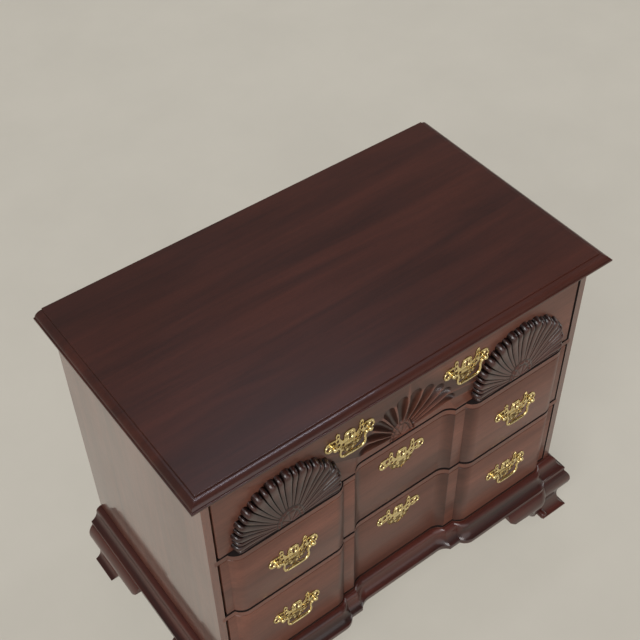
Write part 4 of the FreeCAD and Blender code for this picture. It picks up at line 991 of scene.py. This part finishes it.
def curve_outline(curve, spots):
    """Adds a closed spline through (across, up, corner) spots; a corner's handles are straight."""
    spline = curve.splines.new("BEZIER")
    spline.bezier_points.add(len(spots) - 1)
    for point, (across, up, corner) in zip(spline.bezier_points, spots):
        point.co = (across * MM, up * MM, 0)
        kind = "VECTOR" if corner else "AUTO"
        point.handle_left_type = kind
        point.handle_right_type = kind
    spline.use_cyclic_u = True
    spline.resolution_u = 5


def hole_outline(across, up, wide, tall):
    return [(across + wide, up, 0), (across, up + tall, 0), (across - wide, up, 0), (across, up - tall, 0)]


def plate_mesh(name, thickness, inset):
    """A pierced plate with rounded edges, standing upright with its back on the plane y = 0."""
    curve = bpy.data.curves.new(name, "CURVE")
    curve.dimensions = "2D"
    curve.fill_mode = "BOTH"
    left = tuple((-across, up, corner) for across, up, corner in reversed(PLATE_HALF[1:-1]))
    curve_outline(curve, PLATE_HALF + left)
    curve_outline(curve, KEYHOLE)
    for across, up, wide, tall in PLATE_HOLES:
        curve_outline(curve, hole_outline(across, up, wide, tall))
        curve_outline(curve, hole_outline(-across, up, wide, tall))
    soft = 0.38 * MM
    curve.extrude = thickness / 2 - soft
    curve.bevel_depth = soft
    curve.offset = -soft - inset
    curve.bevel_resolution = 1
    holder = bpy.data.objects.new(name, curve)
    bpy.context.scene.collection.objects.link(holder)
    bpy.context.view_layer.update()
    graph = bpy.context.evaluated_depsgraph_get()
    mesh = bpy.data.meshes.new_from_object(holder.evaluated_get(graph))
    bpy.data.objects.remove(holder)
    bpy.data.curves.remove(curve)
    mesh.transform(Matrix.Translation((0, -thickness / 2, 0)) @ Matrix.Rotation(math.pi / 2, 4, "X"))
    return mesh


def mesh_shape(mesh):
    """A mesh as (points, faces)."""
    points = [tuple(vertex.co) for vertex in mesh.vertices]
    return points, [tuple(face.vertices) for face in mesh.polygons]


def moved(shape, x, y, z, flip=1):
    points = [(px * flip + x, py + y, pz + z) for px, py, pz in shape[0]]
    return (points, *shape[1:])


def ring_bead(across, up, reach, thick, out, steps=28, parts=6):
    """A raised ring round a hole of a plate."""
    points, faces = [], []
    for index in range(steps):
        turn = 2 * math.pi * index / steps
        here, next_ring = index * parts, (index + 1) % steps * parts
        for part in range(parts):
            angle = 2 * math.pi * part / parts
            distance = reach + thick * math.cos(angle)
            points.append((across + distance * math.cos(turn), -out - thick * math.sin(angle),
                           up + distance * math.sin(turn)))
            beyond = (part + 1) % parts
            faces.append((here + part, here + beyond, next_ring + beyond, next_ring + part))
    return points, faces


def dressed_plate(thickness):
    """A plate with raised rings and a border round its field that is painted dark, as painted shade."""
    face = thickness - 0.1 * MM
    border = mesh_shape(plate_mesh("plate_border", 0.55 * thickness, 0))
    # painted shade: the border's crevice share of 0.85 turns its brass dull
    shapes = [(*border, [0.85] * len(border[0]))]
    shapes.append(mesh_shape(plate_mesh("plate_field", thickness, 0.75 * MM)))
    shapes.append(ring_bead(0, 3.5 * MM, 8.6 * MM, 0.9 * MM, face))
    for sign in (-1, 1):
        shapes.append(ring_bead(sign * 46.5 * MM, -1.5 * MM, 6.6 * MM, 0.8 * MM, face))
    return join_shapes(shapes)


POST_PROFILE = ((0.0, 1.0), (0.07, 1.0), (0.10, 0.62), (0.30, 0.50), (0.42, 0.60), (0.52, 0.86),
                (0.68, 0.93), (0.84, 0.80), (0.93, 0.45), (1.0, 0.0))
BAIL_END = ((0.0, 0.5), (0.035, 0.52), (0.055, 0.98), (0.09, 0.85), (0.2, 0.80), (0.36, 0.84))
BAIL_PROFILE = BAIL_END + ((0.5, 1.0),) + tuple((1 - where, thick) for where, thick in reversed(BAIL_END))


def bar_group(name, labels, spine, cuts, sides, profile, spread):
    """A node tree that sweeps a round bar along a spine, as thick at each place as the profile
    says, and spreads it over the given points or leaves it where it is."""
    if name in bpy.data.node_groups:
        return bpy.data.node_groups[name]
    tree = bpy.data.node_groups.new(name, "GeometryNodeTree")
    sockets = [("Geometry", "Geometry")] + [(label, "Float") for label in labels] + [("Finish", "Material")]
    for label, kind in sockets:
        tree.interface.new_socket(label, in_out="INPUT", socket_type="NodeSocket" + kind)
    tree.interface.new_socket("Geometry", in_out="OUTPUT", socket_type="NodeSocketGeometry")
    graph = Graph(tree)
    source = graph.add("NodeGroupInput").outputs
    cut = graph.add("GeometryNodeResampleCurve", {"Curve": spine(graph, source), "Count": cuts})
    along = graph.add("GeometryNodeSplineParameter").outputs["Factor"]
    thickness = graph.add("ShaderNodeFloatCurve", {"Value": along})
    dots = thickness.mapping.curves[0].points
    while len(dots) < len(profile):
        dots.new(0.5, 0.5)
    for dot, spot in zip(dots, profile):
        dot.location = spot
    thickness.mapping.update()
    circle = graph.add("GeometryNodeCurvePrimitiveCircle", {"Resolution": sides, "Radius": source["Radius"]})
    bar = graph.add("GeometryNodeCurveToMesh", {"Curve": cut.outputs[0], "Profile Curve": circle.outputs[0],
                                                "Scale": thickness.outputs[0], "Fill Caps": True})
    if spread:
        bar = graph.add("GeometryNodeInstanceOnPoints", {"Points": source["Geometry"],
                                                         "Instance": bar.outputs[0]})
    real = graph.add("GeometryNodeRealizeInstances", {"Geometry": bar.outputs[0]})
    smooth = graph.add("GeometryNodeSetShadeSmooth", {"Geometry": real.outputs[0]})
    paint = graph.add("GeometryNodeSetMaterial", {"Geometry": smooth.outputs[0],
                                                  "Material": source["Finish"]})
    graph.add("NodeGroupOutput", {0: paint.outputs[0]})
    return tree


def turned_group():
    """A node tree that puts a turned post on every point."""
    def spine(graph, source):
        axis = graph.add("GeometryNodeCurvePrimitiveLine",
                         {"Direction": (0, -1, 0), "Length": source["Length"]}, mode="DIRECTION")
        return axis.outputs[0]

    return bar_group("turned_posts", ("Length", "Radius"), spine, 30, 20, POST_PROFILE, True)


def bent_bar_group():
    """A node tree that gives a line of spots a round bar, thick at its grip and slim at its ends."""
    def spine(graph, source):
        line = graph.add("GeometryNodeMeshToCurve", {"Mesh": source["Geometry"]})
        bends = graph.add("GeometryNodeFilletCurve",
                          {"Curve": line.outputs[0], "Radius": source["Bend"], "Count": 6,
                           "Limit Radius": True}, mode="POLY")
        return bends.outputs[0]

    return bar_group("bent_bar", ("Radius", "Bend"), spine, 80, 14, BAIL_PROFILE, False)


def grown(name, spots, edges, tree, values):
    """Runs a node tree on spots and edges and returns the plain mesh that it makes."""
    seed = bpy.data.meshes.new(name + "_seed")
    seed.from_pydata(spots, edges, [])
    holder = bpy.data.objects.new(name + "_seed", seed)
    bpy.context.scene.collection.objects.link(holder)
    modifier = holder.modifiers.new("nodes", "NODES")
    modifier.node_group = tree
    for item in tree.interface.items_tree:
        if item.in_out == "INPUT" and item.name in values:
            modifier[item.identifier] = values[item.name]
    bpy.context.view_layer.update()
    graph = bpy.context.evaluated_depsgraph_get()
    mesh = bpy.data.meshes.new_from_object(holder.evaluated_get(graph))
    holder.modifiers.clear()
    bpy.data.objects.remove(holder)
    bpy.data.meshes.remove(seed)
    return mesh


def nut_shape(x, y, z):
    """A six-sided nut on the back of a front."""
    rings = []
    for depth, radius in ((0, 4.6), (3.4, 4.6), (4.0, 4.0)):
        rings.append([(x + radius * MM * math.cos(math.pi * part / 3), y + depth * MM,
                       z + radius * MM * math.sin(math.pi * part / 3)) for part in range(6)])
    return loft(rings)


def pull_places():
    """Each drawer's number, the middle of its right pull, its face and the level of its pulls."""
    places = []
    for number in (1, 2, 3):
        low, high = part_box("bail_%d_right" % number)
        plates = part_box("pull_plates_%d" % number)
        middle = (low.x + high.x) / 2
        places.append((number, middle, plates[1].y, plates[0].z + PLATE_DROP))
    return places


class CHEST_OT_plates(bpy.types.Operator):
    """Cut the pierced plates and escutcheons"""
    bl_idname = "chest.plates"
    bl_label = "Plates and escutcheons"

    def execute(self, context):
        plate = dressed_plate(context.scene.chest_sizes.plate_thickness)
        for number, middle, face, level in pull_places():
            both = join_shapes([moved(plate, middle, face, level), moved(plate, -middle, face, level, -1)])
            new_piece("plates_%d" % number, both, "brass", "drawer_%d" % number, 40,
                      "pull_plates_%d" % number)
        for number in (2, 3):
            node = "escutcheon_%d" % number
            low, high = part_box(node)
            shape = moved(plate, 0, high.y, low.z + PLATE_DROP)
            new_piece("key_plate_%d" % number, shape, "brass", "drawer_%d" % number, 40, node)
        return {"FINISHED"}


class CHEST_OT_posts(bpy.types.Operator):
    """Turn the posts and put on their nuts"""
    bl_idname = "chest.posts"
    bl_label = "Posts and nuts"

    def execute(self, context):
        sizes = context.scene.chest_sizes
        for number, middle, face, level in pull_places():
            spots = [(side * (middle + step * sizes.post_half_span), face - sizes.plate_thickness, level)
                     for side in (-1, 1) for step in (-1, 1)]
            mesh = grown("posts", spots, [], turned_group(), {
                "Length": 12.4 * MM, "Radius": 5.4 * MM, "Finish": finishes()["brass"]})
            nuts = [nut_shape(x, FRONT_REAR, z) for x, _, z in spots]
            new_piece("posts_%d" % number, join_shapes([mesh_shape(mesh)] + nuts), "brass",
                      "drawer_%d" % number, 40, "pull_posts_%d" % number)
        return {"FINISHED"}


class CHEST_OT_bails(bpy.types.Operator):
    """Bend the hanging bails"""
    bl_idname = "chest.bails"
    bl_label = "Bails"

    def execute(self, context):
        sizes = context.scene.chest_sizes
        half, drop = sizes.bail_half, sizes.bail_drop
        end = sizes.post_half_span - 0.5 * MM
        right = [(half - 7 * MM, -drop), (half - 1 * MM, -drop + 4 * MM), (half + 0.4 * MM, -drop + 13 * MM),
                 (half - 1.2 * MM, -10 * MM), (half + 1 * MM, -3 * MM), (half + 4.4 * MM, 0), (end, 0)]
        line = [(-across, up) for across, up in reversed(right)] + right
        edges = [(index, index + 1) for index in range(len(line) - 1)]
        for number, middle, face, level in pull_places():
            for side, sign in (("right", 1), ("left", -1)):
                spots = [(sign * middle + across, face - sizes.pivot_out, level + up) for across, up in line]
                mesh = grown("bail", spots, edges, bent_bar_group(), {
                    "Radius": sizes.bail_radius, "Bend": 6 * MM, "Finish": finishes()["brass"]})
                body = "bail_%d_%s" % (number, side)
                new_piece("handle_%d_%s" % (number, side), mesh_shape(mesh), "brass", body, 50,
                          body)
        return {"FINISHED"}


# ---------------------------------------------------------------------------------------------
# Boards that keep their own shape, the stage and the camera
# ---------------------------------------------------------------------------------------------
BOARD_FINISH = {
    "side_left": "left_wood", "side_right": "right_wood", "divider_lower": "rail_wood",
    "divider_upper": "rail_wood", "bottom_rail": "rail_wood", "top_rail_front": "wood_x",
    "back_panel": "inner_z",
}


def board_finish(name):
    """The finish of a board that keeps its own shape; boards out of sight are bare wood."""
    lengthwise = name.startswith("runner_") or name.endswith(("side_left", "side_right", "kicker"))
    return BOARD_FINISH.get(name, "inner_y" if lengthwise else "inner_x")


class CHEST_OT_boards(bpy.types.Operator):
    """Finish the boards that keep their own shape"""
    bl_idname = "chest.boards"
    bl_label = "Case and drawer boards"

    def execute(self, context):
        for name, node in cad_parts.items():
            if not node.hide_render:
                node.data.materials.clear()
                node.data.materials.append(finishes()[board_finish(name)])
        return {"FINISHED"}


def area_lamp(name, place, target, size, power, tone):
    lamp = bpy.data.lights.new(name, "AREA")
    lamp.shape = "RECTANGLE"
    lamp.size, lamp.size_y = size
    lamp.energy = power
    lamp.color = tone
    holder = bpy.data.objects.new(name, lamp)
    holder.location = place
    aim = Vector(target) - Vector(place)
    holder.rotation_euler = aim.to_track_quat("-Z", "Y").to_euler()
    bpy.context.scene.collection.objects.link(holder)


def sun_lamp(name, away, angle, strength):
    """A broad far light that shines from the given direction."""
    lamp = bpy.data.lights.new(name, "SUN")
    lamp.angle = math.radians(angle)
    lamp.energy = strength
    holder = bpy.data.objects.new(name, lamp)
    holder.rotation_euler = Vector(away).to_track_quat("Z", "Y").to_euler()
    bpy.context.scene.collection.objects.link(holder)


def soft_room(scene):
    """A room that is dim in front of the chest and lighter behind it."""
    scene.world = bpy.data.worlds.new("soft_room")
    scene.world.use_nodes = True
    graph = Graph(scene.world.node_tree)
    place = graph.add("ShaderNodeTexCoord").outputs["Generated"]
    depth = graph.add("ShaderNodeSeparateXYZ", {0: place}).outputs["Y"]
    level = graph.add("ShaderNodeMapRange", {"Value": depth, "From Min": -0.45, "From Max": 0.55,
                                             "To Min": 0.07, "To Max": 0.185})
    shade = graph.add("ShaderNodeBackground", {"Color": (1.0, 0.90, 0.84, 1), "Strength": level.outputs[0]})
    graph.add("ShaderNodeOutputWorld", {"Surface": shade.outputs[0]})


SENSOR_WIDTH, FRAME_PIXELS, FOCAL_PIXELS = 36, 640, 1134.5
CAMERA_PLACE = (-0.8597, -1.1462, 2.2314)
CAMERA_ANGLES = (-35.881, 46.657, -1.345)  # azimuth, elevation and roll in degrees


def place_camera(scene):
    camera = bpy.data.cameras.new("camera")
    camera.sensor_width = SENSOR_WIDTH
    camera.lens = FOCAL_PIXELS / FRAME_PIXELS * SENSOR_WIDTH
    holder = bpy.data.objects.new("camera", camera)
    scene.collection.objects.link(holder)
    azimuth, elevation, roll = (math.radians(angle) for angle in CAMERA_ANGLES)
    away = Vector((math.sin(azimuth) * math.cos(elevation), -math.cos(azimuth) * math.cos(elevation),
                   math.sin(elevation)))
    right = (-away).cross(Vector((0, 0, 1))).normalized()
    up = right.cross(-away)
    tilted = right * math.cos(roll) + up * math.sin(roll)
    upright = up * math.cos(roll) - right * math.sin(roll)
    turn = Matrix((tilted, upright, away)).transposed().to_4x4()
    holder.matrix_world = Matrix.Translation(CAMERA_PLACE) @ turn
    scene.camera = holder


FLOOR_REACH = 40
STRIP_TONE = (0.86, 0.86, 1.0)


class CHEST_OT_stage(bpy.types.Operator):
    """Lay the floor, hang the lamps and set up the camera"""
    bl_idname = "chest.stage"
    bl_label = "Floor, lamps and camera"

    def execute(self, context):
        scene = context.scene
        corners = [(x * FLOOR_REACH, y * FLOOR_REACH, 0) for x, y in ((-1, -1), (1, -1), (1, 1), (-1, 1))]
        mesh = bpy.data.meshes.new("floor")
        mesh.from_pydata(corners, [], [(0, 1, 2, 3)])
        floor = bpy.data.objects.new("floor", mesh)
        scene.collection.objects.link(floor)
        mesh.materials.append(floor_paint("floor_paint", tuple(scene.chest_colours.floor)))
        soft_room(scene)
        area_lamp("strip_front", (0.33, 0.12, 2.9), (0.33, 0.12, 0), (0.97, 0.14), 6.5, STRIP_TONE)
        area_lamp("strip_back", (0.33, 0.70, 2.9), (0.33, 0.70, 0), (0.97, 0.09), 3, STRIP_TONE)
        sun_lamp("key", (-0.62, -0.42, 0.66), 36, 1.9)
        sun_lamp("front_light", (-0.12, -0.95, 0.22), 60, 0.8)
        sun_lamp("side_light", (0.93, -0.10, 0.35), 30, 0.5)
        place_camera(scene)
        scene.view_settings.view_transform = "Standard"
        return {"FINISHED"}


STEPS = ("top", "base", "feet", "fronts", "shells", "plates", "posts", "bails", "boards", "stage")


class CHEST_PT_panel(bpy.types.Panel):
    """Sizes, colours and the steps that build the chest"""
    bl_label = "Block front chest"
    bl_idname = "CHEST_PT_panel"
    bl_space_type = "VIEW_3D"
    bl_region_type = "UI"
    bl_category = "Chest"

    def draw(self, context):
        for group in (context.scene.chest_sizes, context.scene.chest_colours):
            box = self.layout.box()
            for name in group.bl_rna.properties.keys():
                if name not in ("rna_type", "name"):
                    box.prop(group, name)
        for step in STEPS:
            self.layout.operator("chest." + step)


CLASSES = (ChestSizes, ChestColours, CHEST_OT_top, CHEST_OT_base, CHEST_OT_feet, CHEST_OT_fronts,
           CHEST_OT_shells, CHEST_OT_plates, CHEST_OT_posts, CHEST_OT_bails, CHEST_OT_boards,
           CHEST_OT_stage, CHEST_PT_panel)


def register():
    for item in CLASSES:
        bpy.utils.register_class(item)
    bpy.types.Scene.chest_sizes = bpy.props.PointerProperty(type=ChestSizes)
    bpy.types.Scene.chest_colours = bpy.props.PointerProperty(type=ChestColours)


def unregister():
    del bpy.types.Scene.chest_colours
    del bpy.types.Scene.chest_sizes
    for item in reversed(CLASSES):
        bpy.utils.unregister_class(item)


def main():
    register()
    for step in STEPS:
        getattr(bpy.ops.chest, step)()


if __name__ == "__main__":
    main()
